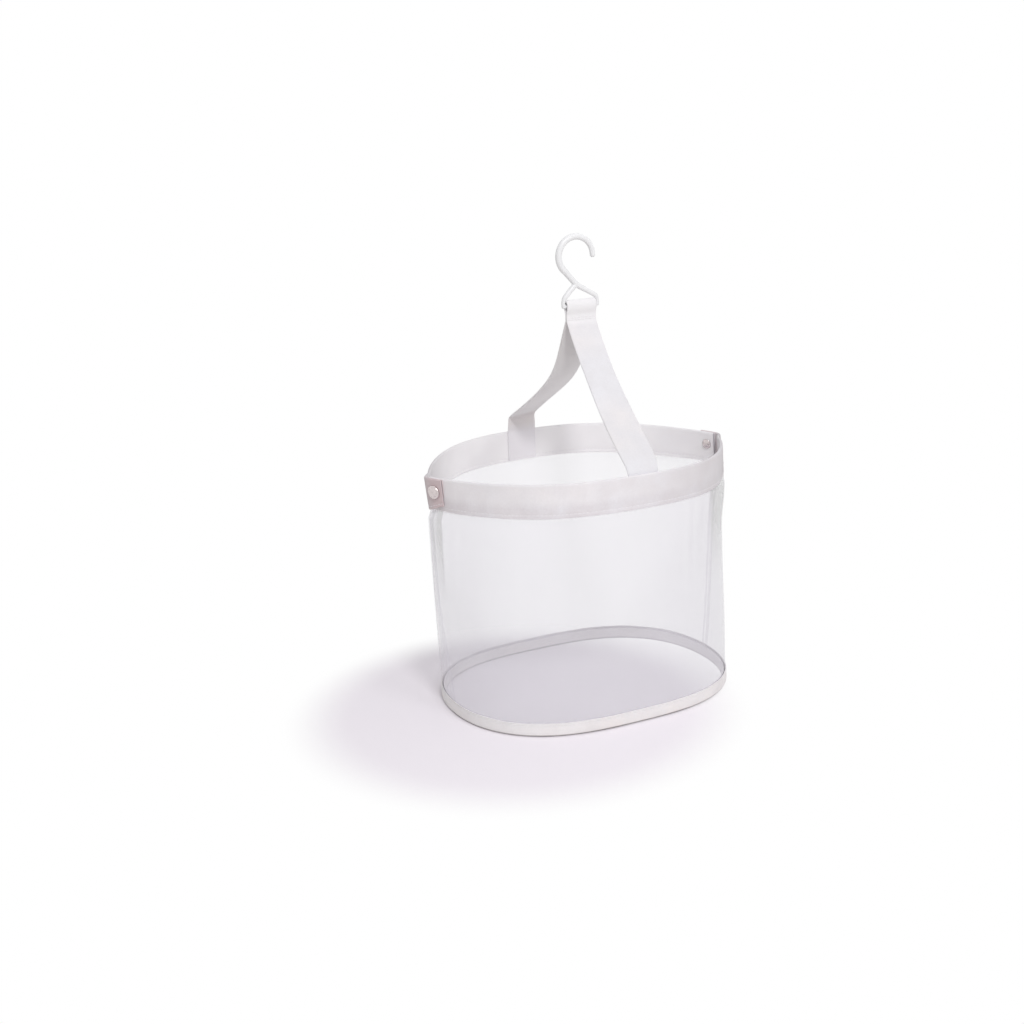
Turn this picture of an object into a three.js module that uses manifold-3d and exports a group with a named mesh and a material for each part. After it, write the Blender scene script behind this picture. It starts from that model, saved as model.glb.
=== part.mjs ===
// Peg bag: an oval film bag that stands by itself, with a riveted webbing rim, a webbing strap and a hook.
// Millimetres, +Z up. The origin is the centre of the foot, X runs from rivet to rivet and -Y is the front.
// The rim and the film have half-turn symmetry, so each back piece is its front piece turned by 180 degrees.
import * as THREE from 'three';
import { mergeVertices } from 'three/addons/utils/BufferGeometryUtils.js';
import Module from 'manifold-3d';

const wasm = await Module();
wasm.setup();

// Driving dimensions of the bag
const rimLength = 253.5;
const rimDepth = 187.5;
const rimHeight = 194.5;
const rimDip = 3;
const footLength = 233.5;
const footDepth = 179;
const wallBulge = 2;
const filmThickness = 0.5;
const filmTuck = 5;
const filmTuckRamp = 20;
const floorThickness = 0.8;
const bindingHeight = 10.6;
const bindingTape = 0.8;
const seamTapeWidth = 8;
const seamTapeThickness = 0.4;
const seamGap = 1.2;

// Driving dimensions of the rim and its rivets
const bandHeight = 25;
const bandTape = 0.7;
const springThickness = 0.6;
const plyStart = 1.5;
const plyRamp = 14;
const rivetInset = 8;
const tabMargin = 7.4;
const rivetDrop = 9.8;
const rivetHeadDiameter = 10.8;
const rivetHeadRise = 2.6;
const rivetShankDiameter = 3.2;
const rivetCapDiameter = 8;
const rivetCapRise = 2.2;

// Driving dimensions of the strap and the hook
const strapWidth = 25;
const strapThickness = 1.4;
const strapLap = 8;
const tiltRise = 3;
const foldRise = 16;
const strapSkew = 4.4;
const handleRise = 113;
const handleLean = 8.6;
const tabDrop = 11;
const ringWire = 3;
const hookWire = 5.2;
const apexRise = 16;
const apexShift = 3;
const bowRadius = 14.3;
const bowRise = 36.8;
const bowShift = 3;
const bowStart = 235;
const bowEnd = 0;

// Fits, and the powers of the two ovals: 2 is an ellipse, more is squarer, less is more pointed
const clearance = 0.3;
const rimPowers = { end: 2.73, side: 1.15 };
const footPowers = { end: 2.87, side: 2.17 };

// Fineness of the facets: a close step round the tips, a wide one elsewhere, and sides of round pieces
const fineZone = 24;
const fineStep = 3.2;
const coarseStep = 12;
const footSteps = 56;
const rivetSides = 16;
const wireSides = 10;

// Sizes that follow
const bandChannel = Math.max(springThickness, filmThickness) + 2 * clearance;
const bandThickness = 2 * bandTape + bandChannel;
const filmInset = (bandThickness - filmThickness) / 2;
const springInset = (bandThickness - springThickness) / 2;
const springDrop = bandTape + clearance;
const springHeight = bandHeight - filmTuck - springDrop - clearance;
const plyShift = bandThickness + clearance;
const tabReach = rivetInset + tabMargin;
const bindingFilmInset = bindingTape + clearance;
const flangeInset = bindingFilmInset + filmThickness + clearance;
const bindingThickness = flangeInset + floorThickness + clearance + bindingTape;
const barRadius = ringWire / 2;
const loopRadius = barRadius + clearance + strapThickness;
const ringLegShift = strapWidth / 2 + clearance + barRadius;
const ringShoulder = loopRadius + clearance + barRadius;
const tiltHeight = rimHeight + tiltRise;
const barHeight = rimHeight + handleRise;

// Materials
function finish(color, roughness, metalness = 0) {
  return new THREE.MeshStandardMaterial({ color, roughness, metalness });
}

const film = finish(0xe9e6ec, 0.3);
const bandCloth = finish(0xd6d2d3, 0.85);
const strapCloth = finish(0xe8e3e6, 0.85);
const bindingCloth = finish(0xf0eef0, 0.8);
const springSteel = finish(0xb8bcc0, 0.35, 1);
const nickel = finish(0xd9d8d6, 0.25, 1);
const whitePlastic = finish(0xf4f4f5, 0.35);

// A closed oval that starts at its left tip and runs by way of the front. A share of 1 is once round.
class Oval extends THREE.Curve {
  constructor(length, depth, powers) {
    super();
    this.half = new THREE.Vector2(length / 2, depth / 2);
    this.powers = powers;
    this.arcLengthDivisions = 1600;
  }

  getPoint(t, target = new THREE.Vector2()) {
    const along = Math.cos(2 * Math.PI * t);
    const across = Math.sin(2 * Math.PI * t);
    const x = -Math.sign(along) * this.half.x * Math.abs(along) ** (2 / this.powers.end);
    const y = -Math.sign(across) * this.half.y * Math.abs(across) ** (2 / this.powers.side);
    return target.set(x, y);
  }

  outward(share) {
    const tangent = this.getTangentAt(share - Math.floor(share));
    return new THREE.Vector2(tangent.y, -tangent.x);
  }

  inside(share, inset) {
    const point = this.getPointAt(share - Math.floor(share));
    return point.addScaledVector(this.outward(share), -inset);
  }
}

const rim = new Oval(rimLength, rimDepth, rimPowers);
const foot = new Oval(footLength, footDepth, footPowers);
const rimRound = rim.getLength();
const rightTip = rimRound / 2;
const frontMiddle = rimRound / 4;

// Height of the rim's top edge, which dips towards the two tips.
function rimTop(run) {
  const point = rim.inside(run / rimRound, 0);
  return rimHeight - rimDip * (point.x / rim.half.x) ** 2;
}

// Point on the rim: `run` along it from the left tip, `inset` from its outer face, `drop` below its top.
function onRim(run, inset, drop) {
  const point = rim.inside(run / rimRound, inset);
  return new THREE.Vector3(point.x, point.y, rimTop(run) - drop);
}

// How far the rim bends away from its tangent within `reach` of a place on it.
function bowOfRim(run, reach, inset) {
  const centre = rim.inside(run / rimRound, inset);
  const out = rim.outward(run / rimRound);
  const ends = [-reach, reach].map((step) => rim.inside((run + step) / rimRound, inset).sub(centre));
  return Math.max(...ends.map((end) => Math.abs(end.dot(out))));
}

// Places along the rim, close together near the tips, where it turns sharply.
function stations(from, to) {
  const places = [from];
  while (places.at(-1) < to) {
    const last = places.at(-1);
    const toTip = Math.min(Math.abs(last), Math.abs(rightTip - last));
    places.push(last + THREE.MathUtils.clamp(toTip - fineZone, fineStep, coarseStep));
  }
  places.pop();
  if (to - places.at(-1) < fineStep / 2) places.pop();
  return [...places, to];
}

// Closed solid from an indexed list of points, with its faces turned outwards.
function solidFrom(points, faces) {
  let volume = 0;
  for (const [a, b, c] of faces) {
    volume += points[a].dot(new THREE.Vector3().crossVectors(points[b], points[c]));
  }
  const outwardFaces = volume > 0 ? faces : faces.map(([a, b, c]) => [a, c, b]);
  const geometry = new THREE.BufferGeometry().setFromPoints(points);
  geometry.setIndex(outwardFaces.flat());
  return geometry;
}

// Closed solid through loops of points. Each loop is a skin's outer side and then its inner side, backwards.
function sweep(loops, closed = false) {
  const size = loops[0].length;
  const faces = [];
  const spans = closed ? loops.length : loops.length - 1;
  for (let i = 0; i < spans; i += 1) {
    const here = i * size;
    const next = ((i + 1) % loops.length) * size;
    for (let j = 0; j < size; j += 1) {
      const k = (j + 1) % size;
      faces.push([here + j, here + k, next + k], [here + j, next + k, next + j]);
    }
  }
  if (!closed) {
    const last = (loops.length - 1) * size;
    for (let j = 0; j < size / 2 - 1; j += 1) {
      const [a, b, c, d] = [j, j + 1, size - 2 - j, size - 1 - j];
      faces.push([a, c, b], [a, d, c], [last + a, last + b, last + c], [last + a, last + c, last + d]);
    }
  }
  return solidFrom(loops.flat(), faces);
}

// Solids for cutting and joining
function toSolid(geometry) {
  const bare = geometry.clone();
  bare.deleteAttribute('normal');
  bare.deleteAttribute('uv');
  const merged = mergeVertices(bare);
  const vertProperties = new Float32Array(merged.attributes.position.array);
  const triVerts = new Uint32Array(merged.index.array);
  return new wasm.Manifold(new wasm.Mesh({ numProp: 3, vertProperties, triVerts }));
}

function toGeometry(solid) {
  const mesh = solid.getMesh();
  const geometry = new THREE.BufferGeometry();
  geometry.setAttribute('position', new THREE.BufferAttribute(mesh.vertProperties, 3));
  geometry.setIndex(new THREE.BufferAttribute(mesh.triVerts, 1));
  return geometry;
}

function joined(...geometries) {
  return toGeometry(geometries.map(toSolid).reduce((whole, piece) => whole.add(piece)));
}

function cutBy(geometry, cutters) {
  return toGeometry(cutters.map(toSolid).reduce((rest, cutter) => rest.subtract(cutter), toSolid(geometry)));
}

function named(name, geometry, material) {
  geometry.computeVertexNormals();
  const mesh = new THREE.Mesh(geometry, material);
  mesh.name = name;
  return mesh;
}

// Rim band: tape folded over the spring strip, open below. Its far end runs outside the other band's start.
function bandShift(run) {
  return plyShift * THREE.MathUtils.smoothstep(run, rightTip - plyStart - plyRamp, rightTip - plyStart);
}

function bandGeometry() {
  const outer = [[0, bandHeight], [0, 0], [bandThickness, 0], [bandThickness, bandHeight]];
  const fold = bandThickness - bandTape;
  const inner = [[bandTape, bandHeight], [bandTape, bandTape], [fold, bandTape], [fold, bandHeight]];
  const section = [...outer, ...inner.reverse()];
  const places = stations(plyStart, rightTip + tabReach);
  return sweep(places.map((run) => section.map(([inset, drop]) => onRim(run, inset - bandShift(run), drop))));
}

function springGeometry() {
  const low = springDrop + springHeight;
  const back = springInset + springThickness;
  const section = [[springInset, low], [springInset, springDrop], [back, springDrop], [back, low]];
  const places = stations(plyStart + clearance, rightTip + tabReach - clearance);
  return sweep(places.map((run) => section.map(([inset, drop]) => onRim(run, inset - bandShift(run), drop))));
}

// Rivets: each holds the two plies near a tip. Its own Y axis points out of the band.
const rivetTop = plyShift + clearance;
const capTop = -bandThickness - clearance - bowOfRim(rivetInset, rivetCapDiameter / 2, bandThickness);
const rivetTip = capTop - rivetCapRise / 2;

function dome(radius, base, rise) {
  const steps = 4;
  const edge = rise / 4;
  const points = [new THREE.Vector2(radius, base), new THREE.Vector2(radius, base + edge)];
  for (let i = 1; i < steps; i += 1) {
    const angle = (i / steps) * Math.PI / 2;
    points.push(new THREE.Vector2(radius * Math.cos(angle), base + edge + (rise - edge) * Math.sin(angle)));
  }
  points.push(new THREE.Vector2(0, base + rise));
  return points;
}

function rivetGeometry() {
  const shank = rivetShankDiameter / 2;
  const profile = [
    new THREE.Vector2(0, rivetTip),
    new THREE.Vector2(shank, rivetTip),
    new THREE.Vector2(shank, rivetTop),
    ...dome(rivetHeadDiameter / 2, rivetTop, rivetHeadRise),
  ];
  return new THREE.LatheGeometry(profile, rivetSides);
}

function rivetCapGeometry() {
  const socket = rivetShankDiameter / 2 + clearance;
  const socketEnd = rivetTip - clearance;
  const profile = [
    ...dome(rivetCapDiameter / 2, -capTop, rivetCapRise).reverse().map((p) => new THREE.Vector2(p.x, -p.y)),
    new THREE.Vector2(socket, capTop),
    new THREE.Vector2(socket, socketEnd),
    new THREE.Vector2(0, socketEnd),
  ];
  return new THREE.LatheGeometry(profile, rivetSides);
}

function atRivet() {
  const seat = onRim(rivetInset, 0, rivetDrop);
  const out = rim.outward(rivetInset / rimRound);
  const group = new THREE.Group();
  group.position.copy(seat);
  group.quaternion.setFromUnitVectors(new THREE.Vector3(0, 1, 0), new THREE.Vector3(out.x, out.y, 0));
  group.updateMatrix();
  return group;
}

function rivetHoles() {
  const length = 4 * (bandThickness + plyShift);
  const radius = rivetShankDiameter / 2 + clearance;
  const left = new THREE.CylinderGeometry(radius, radius, length, rivetSides).applyMatrix4(atRivet().matrix);
  return [left, left.clone().rotateZ(Math.PI)];
}

// Wall: one film panel from the foot to the rim, tucked into the band except beside the tips.
function onWall(run, inset, height) {
  const low = bindingHeight;
  const high = rimTop(run) - bandHeight - clearance;
  const rise = THREE.MathUtils.clamp((height - low) / (high - low), 0, 1);
  const bulge = wallBulge * Math.sin(Math.PI * rise);
  const atFoot = foot.inside(run / rimRound, inset - filmInset + bindingFilmInset - bulge);
  const atRim = rim.inside(run / rimRound, inset - bulge);
  const point = atFoot.lerp(atRim, rise);
  return new THREE.Vector3(point.x, point.y, height);
}

function wallHeights(run, bottom, top) {
  const rows = [0.25, 0.5, 0.75];
  const high = rimTop(run) - bandHeight - clearance;
  const between = rows.map((row) => THREE.MathUtils.lerp(bindingHeight, high, row));
  return [...bottom, ...between, ...top(high)];
}

function skinLoop(run, inset, thickness, heights) {
  const outer = heights.map((height) => onWall(run, inset, height));
  const inner = heights.map((height) => onWall(run, inset + thickness, height));
  return [...outer, ...inner.reverse()];
}

function wallGeometry() {
  const clearOfTip = plyStart + plyRamp + clearance;
  const bottom = [bindingTape + clearance, bindingHeight];
  const places = stations(seamGap / 2, rightTip - seamGap / 2);
  return sweep(places.map((run) => {
    const toTip = Math.min(run, rightTip - run);
    const tucked = THREE.MathUtils.smoothstep(toTip, clearOfTip, clearOfTip + filmTuckRamp);
    const top = (high) => [high - filmTuck, high + (filmTuck + clearance) * tucked];
    return skinLoop(run, filmInset, filmThickness, wallHeights(run, bottom, top));
  }));
}

function seamTapeGeometry() {
  const inset = filmInset - clearance - seamTapeThickness;
  const shares = [-1, -0.6, -0.25, 0, 0.25, 0.6, 1];
  const bottom = [bindingHeight + clearance];
  const top = (high) => [high];
  return sweep(shares.map((share) => {
    const run = share * seamTapeWidth / 2;
    return skinLoop(run, inset, seamTapeThickness, wallHeights(run, bottom, top));
  }));
}

// Foot: the wall's edge and the floor's turned-down edge stand side by side in a folded binding tape.
const footPlaces = Array.from({ length: footSteps }, (_, i) => i / footSteps);

function bindingGeometry() {
  const innerHeight = bindingHeight - floorThickness - 2 * clearance;
  const tape = bindingTape;
  const inside = bindingThickness - tape;
  const outer = [[0, bindingHeight], [0, 0], [bindingThickness, 0], [bindingThickness, innerHeight]];
  const inner = [[tape, bindingHeight], [tape, tape], [inside, tape], [inside, innerHeight]];
  const section = [...outer, ...inner.reverse()];
  const loops = footPlaces.map((share) => section.map(([inset, height]) => {
    const point = foot.inside(share, inset);
    return new THREE.Vector3(point.x, point.y, height);
  }));
  return sweep(loops, true);
}

function floorGeometry() {
  const outline = (inset) => footPlaces.map((share) => foot.inside(share, inset));
  const plateBottom = bindingHeight - floorThickness - clearance;
  const flangeBottom = bindingTape + clearance;
  const plate = new THREE.ExtrudeGeometry(new THREE.Shape(outline(flangeInset)), {
    depth: floorThickness,
    bevelEnabled: false,
  }).translate(0, 0, plateBottom);
  const ring = new THREE.Shape(outline(flangeInset));
  ring.holes.push(new THREE.Path(outline(flangeInset + floorThickness)));
  const flange = new THREE.ExtrudeGeometry(ring, {
    depth: plateBottom - flangeBottom + floorThickness / 2,
    bevelEnabled: false,
  }).translate(0, 0, flangeBottom);
  return joined(plate, flange);
}

// Strap: two ends sewn inside the bands, and a handle that tilts on them as a lap joint.
const strapEndInset = bandThickness + clearance;
const lapReach = Math.hypot(strapWidth / 2 + strapSkew, strapLap + tiltRise);
const lapInset = strapEndInset + strapThickness + clearance + bowOfRim(frontMiddle, lapReach, bandThickness);
const lapDepth = rimDepth / 2 - lapInset - strapThickness / 2;

function strapEndGeometry() {
  const shares = [-0.5, -0.25, 0, 0.25, 0.5];
  const back = strapEndInset + strapThickness;
  const loop = [[strapEndInset, 0], [strapEndInset, bandHeight], [back, bandHeight], [back, 0]];
  return sweep(shares.map((share) => {
    const run = frontMiddle + strapSkew + share * strapWidth;
    return loop.map(([inset, drop]) => onRim(run, inset, drop));
  }));
}

// Ribbon along a path, seen from its edge: the path is flat, and the ribbon's width runs across it.
function ribbon(path, steps) {
  const half = strapThickness / 2;
  const sides = [half, -half].map((shift) => Array.from({ length: steps + 1 }, (_, i) => {
    const tangent = path.getTangentAt(i / steps);
    return path.getPointAt(i / steps).add(new THREE.Vector2(-tangent.y * shift, tangent.x * shift));
  }));
  return acrossStrap(new THREE.Shape([...sides[0], ...sides[1].reverse()]));
}

function acrossStrap(shape) {
  const geometry = new THREE.ExtrudeGeometry(shape, {
    depth: strapWidth,
    bevelEnabled: false,
    curveSegments: wireSides,
  });
  return geometry.translate(0, 0, -strapWidth / 2);
}

// Seen from +X, with Y to the right and Z up: the front leg is a plain curve, the back leg folds at the rim.
// Each leg's curve is drawn by points at shares of the way from its foot, or its fold, to the loop.
const frontLegShares = [[0, 0.03], [0.07, 0.09], [0.72, 0.58]];
const backLegShares = [[0.08, 0.036], [0.85, 0.506], [0.77, 0.518]];

function handleGeometry() {
  const bar = new THREE.Vector2(-handleLean, barHeight);
  const tabEnd = bar.y - tabDrop;
  const overlap = strapThickness;
  const frontSteps = 22;
  const backSteps = 30;
  const frontFoot = new THREE.Vector2(-lapDepth, tiltHeight);
  const frontTop = new THREE.Vector2(bar.x - strapThickness / 2, tabEnd);
  const backFoot = new THREE.Vector2(lapDepth, tiltHeight);
  const backTop = new THREE.Vector2(bar.x + strapThickness / 2, tabEnd);
  const onWay = (from, to, shares) => shares.map(([across, up]) => new THREE.Vector2(
    THREE.MathUtils.lerp(from.x, to.x, across),
    THREE.MathUtils.lerp(from.y, to.y, up),
  ));

  const frontLeg = new THREE.CurvePath();
  const [frontBend, frontRise, frontPull] = onWay(frontFoot, frontTop, frontLegShares);
  frontLeg.add(new THREE.LineCurve(frontFoot.clone().setY(rimHeight - strapLap), frontFoot));
  frontLeg.add(new THREE.QuadraticBezierCurve(frontFoot, frontBend, frontRise));
  frontLeg.add(new THREE.QuadraticBezierCurve(frontRise, frontPull, frontTop));
  frontLeg.add(new THREE.LineCurve(frontTop, frontTop.clone().setY(tabEnd + overlap)));

  const backLeg = new THREE.CurvePath();
  const fold = backFoot.clone().setY(rimHeight + foldRise);
  const [pastFold, backSag, backPull] = onWay(fold, backTop, backLegShares);
  backLeg.add(new THREE.LineCurve(backFoot.clone().setY(rimHeight - strapLap), backFoot));
  backLeg.add(new THREE.QuadraticBezierCurve(backFoot, fold, pastFold));
  backLeg.add(new THREE.CubicBezierCurve(pastFold, backSag, backPull, backTop));
  backLeg.add(new THREE.LineCurve(backTop, backTop.clone().setY(tabEnd + overlap)));

  const loop = new THREE.Shape();
  loop.moveTo(bar.x - strapThickness, tabEnd);
  loop.lineTo(bar.x + strapThickness, tabEnd);
  loop.lineTo(bar.x + loopRadius, bar.y);
  loop.absarc(bar.x, bar.y, loopRadius, 0, Math.PI);
  loop.closePath();
  const tunnel = new THREE.Path();
  tunnel.absarc(bar.x, bar.y, barRadius + clearance, 0, 2 * Math.PI);
  loop.holes.push(tunnel);
  const whole = joined(ribbon(frontLeg, frontSteps), ribbon(backLeg, backSteps), acrossStrap(loop));
  const skew = new THREE.Matrix4().makeShear(0, -strapSkew / lapDepth, 0, 0, 0, 0);
  return whole.translate(-bar.x, 0, 0).applyMatrix4(skew).translate(bar.x, 0, 0);
}

// Hook: a house-shaped ring whose bar sits in the strap's loop, and a crook that grows out of its roof.
function tube(path, wire, steps) {
  const section = Array.from({ length: wireSides }, (_, i) => {
    const angle = (i / wireSides) * 2 * Math.PI;
    return new THREE.Vector2(Math.cos(angle), Math.sin(angle)).multiplyScalar(wire / 2);
  });
  return new THREE.ExtrudeGeometry(new THREE.Shape(section), { steps, extrudePath: path });
}

function ringCurve() {
  const corners = [
    [-ringLegShift, 0], [-ringLegShift, ringShoulder], [-apexShift, apexRise],
    [ringLegShift, ringShoulder], [ringLegShift, 0],
  ].map(([x, z]) => new THREE.Vector3(x, 0, z));
  const cornerShare = 0.3;
  const path = new THREE.CurvePath();
  let from = corners[0];
  for (let i = 1; i < corners.length - 1; i += 1) {
    const before = corners[i].clone().lerp(corners[i - 1], cornerShare);
    const after = corners[i].clone().lerp(corners[i + 1], cornerShare);
    path.add(new THREE.LineCurve3(from, before));
    path.add(new THREE.QuadraticBezierCurve3(before, corners[i], after));
    from = after;
  }
  path.add(new THREE.LineCurve3(from, corners.at(-1)));
  return path;
}

function crookCurve() {
  const turns = 12;
  const bow = new THREE.Vector3(-bowShift, 0, bowRise);
  const points = [new THREE.Vector3(-apexShift, 0, apexRise)];
  for (let i = 0; i <= turns; i += 1) {
    const angle = THREE.MathUtils.degToRad(THREE.MathUtils.lerp(bowStart, bowEnd, i / turns));
    points.push(new THREE.Vector3(Math.cos(angle), 0, Math.sin(angle)).multiplyScalar(bowRadius).add(bow));
  }
  return new THREE.CatmullRomCurve3(points, false, 'centripetal');
}

function hookGeometry() {
  const ringSteps = 20;
  const crookSteps = 24;
  const barLength = 2 * ringLegShift;
  const bar = new THREE.CylinderGeometry(barRadius, barRadius, barLength, wireSides).rotateZ(Math.PI / 2);
  const ball = (wire, place) => {
    const round = new THREE.SphereGeometry(wire / 2, wireSides, wireSides / 2);
    return round.translate(...place);
  };
  const corners = [-1, 1].map((side) => ball(ringWire, [side * ringLegShift, 0, 0]));
  const ring = tube(ringCurve(), ringWire, ringSteps);
  const crookPath = crookCurve();
  const crook = tube(crookPath, hookWire, crookSteps);
  return joined(bar, ...corners, ring, crook, ball(hookWire, crookPath.getPoint(1).toArray()));
}

// Assembly
const front = new THREE.Group();
const back = new THREE.Group();
back.rotation.z = Math.PI;
const wall = wallGeometry();
const seamTape = seamTapeGeometry();
const holes = rivetHoles();
const band = cutBy(bandGeometry(), holes);
const spring = cutBy(springGeometry(), holes);
const strapEnd = strapEndGeometry();
const sides = [[front, 'front', 'left'], [back, 'back', 'right']];
for (const [group, face, end] of sides) {
  group.add(named(`${face}_wall`, wall.clone(), film));
  group.add(named(`${end}_seam_tape`, seamTape.clone(), film));
  group.add(named(`${face}_rim_band`, band.clone(), bandCloth));
  group.add(named(`${face}_spring_strip`, spring.clone(), springSteel));
  group.add(named(`${face}_strap_end`, strapEnd.clone(), strapCloth));
  const rivet = atRivet();
  rivet.add(named(`${end}_rivet`, rivetGeometry(), nickel));
  rivet.add(named(`${end}_rivet_cap`, rivetCapGeometry(), nickel));
  group.add(rivet);
}

const floor = named('floor_panel', floorGeometry(), film);
const binding = named('foot_binding', bindingGeometry(), bindingCloth);

const handle = named('handle_strap', handleGeometry(), strapCloth);
const edgeView = new THREE.Matrix4().makeBasis(
  new THREE.Vector3(0, 1, 0),
  new THREE.Vector3(0, 0, 1),
  new THREE.Vector3(1, 0, 0),
);
handle.quaternion.setFromRotationMatrix(edgeView);

const hook = named('hook', hookGeometry(), whitePlastic);
hook.position.set(0, -handleLean, barHeight);

const pegBag = new THREE.Group();
pegBag.name = 'peg_bag';
pegBag.add(floor, binding, front, back, handle, hook);

export default pegBag;
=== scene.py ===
from math import cos, dist, exp, pi, radians, sin, sqrt

import bmesh
import bpy
import numpy as np
from mathutils import Matrix, Vector, noise


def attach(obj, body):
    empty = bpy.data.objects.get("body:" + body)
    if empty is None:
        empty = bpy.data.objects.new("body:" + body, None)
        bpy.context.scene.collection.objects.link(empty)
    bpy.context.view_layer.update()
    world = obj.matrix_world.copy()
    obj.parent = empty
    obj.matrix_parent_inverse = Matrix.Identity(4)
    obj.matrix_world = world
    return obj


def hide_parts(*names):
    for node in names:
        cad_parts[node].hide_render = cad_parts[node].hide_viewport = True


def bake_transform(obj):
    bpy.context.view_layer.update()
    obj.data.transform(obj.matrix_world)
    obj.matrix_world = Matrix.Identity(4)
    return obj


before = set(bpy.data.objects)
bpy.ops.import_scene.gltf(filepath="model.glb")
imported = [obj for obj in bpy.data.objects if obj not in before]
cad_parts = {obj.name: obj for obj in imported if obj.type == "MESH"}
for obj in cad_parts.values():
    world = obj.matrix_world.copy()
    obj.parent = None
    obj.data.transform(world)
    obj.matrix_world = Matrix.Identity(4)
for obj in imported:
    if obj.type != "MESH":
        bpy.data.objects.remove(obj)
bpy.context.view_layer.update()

mm = 0.001
white = (1, 1, 1, 1)
scene = bpy.context.scene
scene.view_settings.view_transform = "Standard"
scene.cycles.transparent_max_bounces = 24  # a look through the bag crosses many film faces


# small helpers, used by every piece
def tint(tone):
    def linear(value):
        value /= 255
        return value / 12.92 if value < 0.04045 else ((value + 0.055) / 1.055) ** 2.4
    return (*(linear(value) for value in tone), 1)


def smooth(value, low, high):
    share = min(max((value - low) / (high - low), 0), 1)
    return share * share * (3 - 2 * share)


def hump(value, rise, end):
    # up over one span and down over another
    return smooth(value, *rise) * (1 - smooth(value, *end))


def mixed(a, b, share):
    return a + (b - a) * share


def evenly(start, end, count):
    return [mixed(start, end, i / count) for i in range(count + 1)]


def wobble(x, y, seed):
    return noise.noise(Vector((x, y, seed)))


def halfTurned(point):
    return Vector((-point.x, -point.y, point.z))


def ringOf(sides, turned=False):
    # out along one face of a sheet and back along the other
    ring = sides[0] + sides[1][::-1]
    return [halfTurned(point) for point in ring] if turned else ring


def skinMesh(name, rings, along, across, closed=False):
    # closed skin through rings of points, with a tape's run and width as its UV map in metres
    size, count = len(rings[0]), len(rings)
    across = across + across[::-1] + across[:1]
    faces, corners = [], []
    for i in range(count if closed else count - 1):
        n = (i + 1) % count
        for j in range(size):
            k = (j + 1) % size
            faces.append((i * size + j, i * size + k, n * size + k, n * size + j))
            corners += [(along[i], across[j]), (along[i], across[j + 1])]
            corners += [(along[i + 1], across[j + 1]), (along[i + 1], across[j])]
    if not closed:
        for end in (0, count - 1):
            for j in range(size // 2 - 1):
                cap = (j, j + 1, size - 2 - j, size - 1 - j)
                faces.append([end * size + c for c in cap])
                corners += [(along[end], across[c]) for c in cap]
    mesh = bpy.data.meshes.new(name)
    mesh.from_pydata([p for ring in rings for p in ring], [], faces)
    layer = mesh.uv_layers.new(name="tape")
    layer.data.foreach_set("uv", [c for corner in corners for c in corner])
    return turnedOut(mesh)


def meshFrom(work, name):
    mesh = bpy.data.meshes.new(name)
    work.to_mesh(mesh)
    work.free()
    return mesh


def turnedOut(mesh, sharp=50):
    work = bmesh.new()
    work.from_mesh(mesh)
    bmesh.ops.recalc_face_normals(work, faces=work.faces)
    work.to_mesh(mesh)
    work.free()
    mesh.polygons.foreach_set("use_smooth", [True] * len(mesh.polygons))
    mesh.set_sharp_from_angle(angle=radians(sharp))
    return mesh


def newObject(name, mesh, material=None):
    piece = bpy.data.objects.new(name, mesh)
    scene.collection.objects.link(piece)
    if material:
        mesh.materials.clear()
        mesh.materials.append(material)
    return piece


def madeReal(piece):
    # the evaluated shape becomes a plain mesh, and the modifiers go
    bpy.context.view_layer.update()
    evaluated = piece.evaluated_get(bpy.context.evaluated_depsgraph_get())
    mesh = bpy.data.meshes.new_from_object(evaluated)
    piece.modifiers.clear()
    old, piece.data = piece.data, mesh
    bpy.data.meshes.remove(old)
    mesh.name = piece.name
    return piece


def declared(piece, body, slot, *nodes):
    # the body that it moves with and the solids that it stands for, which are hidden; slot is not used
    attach(piece, body)
    if nodes:
        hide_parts(*nodes)
    return piece


# node helpers, for finishes and for geometry nodes
def feed(tree, socket, value):
    if isinstance(value, bpy.types.NodeSocket):
        tree.links.new(value, socket)
    elif value is not None:
        socket.default_value = value


def made(tree, kind, inputs=None, **settings):
    # a node with its settings, and its inputs by label or number
    node = tree.nodes.new(kind)
    for name, value in settings.items():
        setattr(node, name, value)
    for label, value in (inputs or {}).items():
        feed(tree, node.inputs[label], value)
    return node


def result(tree, kind, inputs=None, **settings):
    return made(tree, kind, inputs, **settings).outputs[0]


def sums(tree, operation, *values):
    return result(tree, "ShaderNodeMath", dict(enumerate(values)), operation=operation)


def ranged(tree, value, low, high, toLow=0, toHigh=1, kind="LINEAR"):
    inputs = dict(enumerate((value, low, high, toLow, toHigh)))
    return result(tree, "ShaderNodeMapRange", inputs, interpolation_type=kind)


def grain(tree, vector, scale, detail=3, rough=0.5):
    inputs = {"Vector": vector, "Scale": scale, "Detail": detail, "Roughness": rough}
    return result(tree, "ShaderNodeTexNoise", inputs)


def stretched(tree, vector, scale, shift=(0, 0, 0)):
    return result(tree, "ShaderNodeMapping", {"Vector": vector, "Location": shift, "Scale": scale})


def blended(tree, factor, a, b):
    return made(tree, "ShaderNodeMix", {0: factor, 6: a, 7: b}, data_type="RGBA").outputs[2]


def axisOf(tree, vector, axis):
    return made(tree, "ShaderNodeSeparateXYZ", {0: vector}).outputs[axis]


def mixedShader(tree, factor, a, b):
    return result(tree, "ShaderNodeMixShader", {0: factor, 1: a, 2: b})


def newGroup(name, inputs, outputs, kind="ShaderNodeTree"):
    tree = bpy.data.node_groups.new(name, kind)
    for label, sort, value in inputs:
        socket = tree.interface.new_socket(label, in_out="INPUT", socket_type="NodeSocket" + sort)
        if value is not None:
            socket.default_value = value
    for label, sort in outputs:
        tree.interface.new_socket(label, in_out="OUTPUT", socket_type="NodeSocket" + sort)
    return tree, made(tree, "NodeGroupInput").outputs, made(tree, "NodeGroupOutput").inputs


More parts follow.
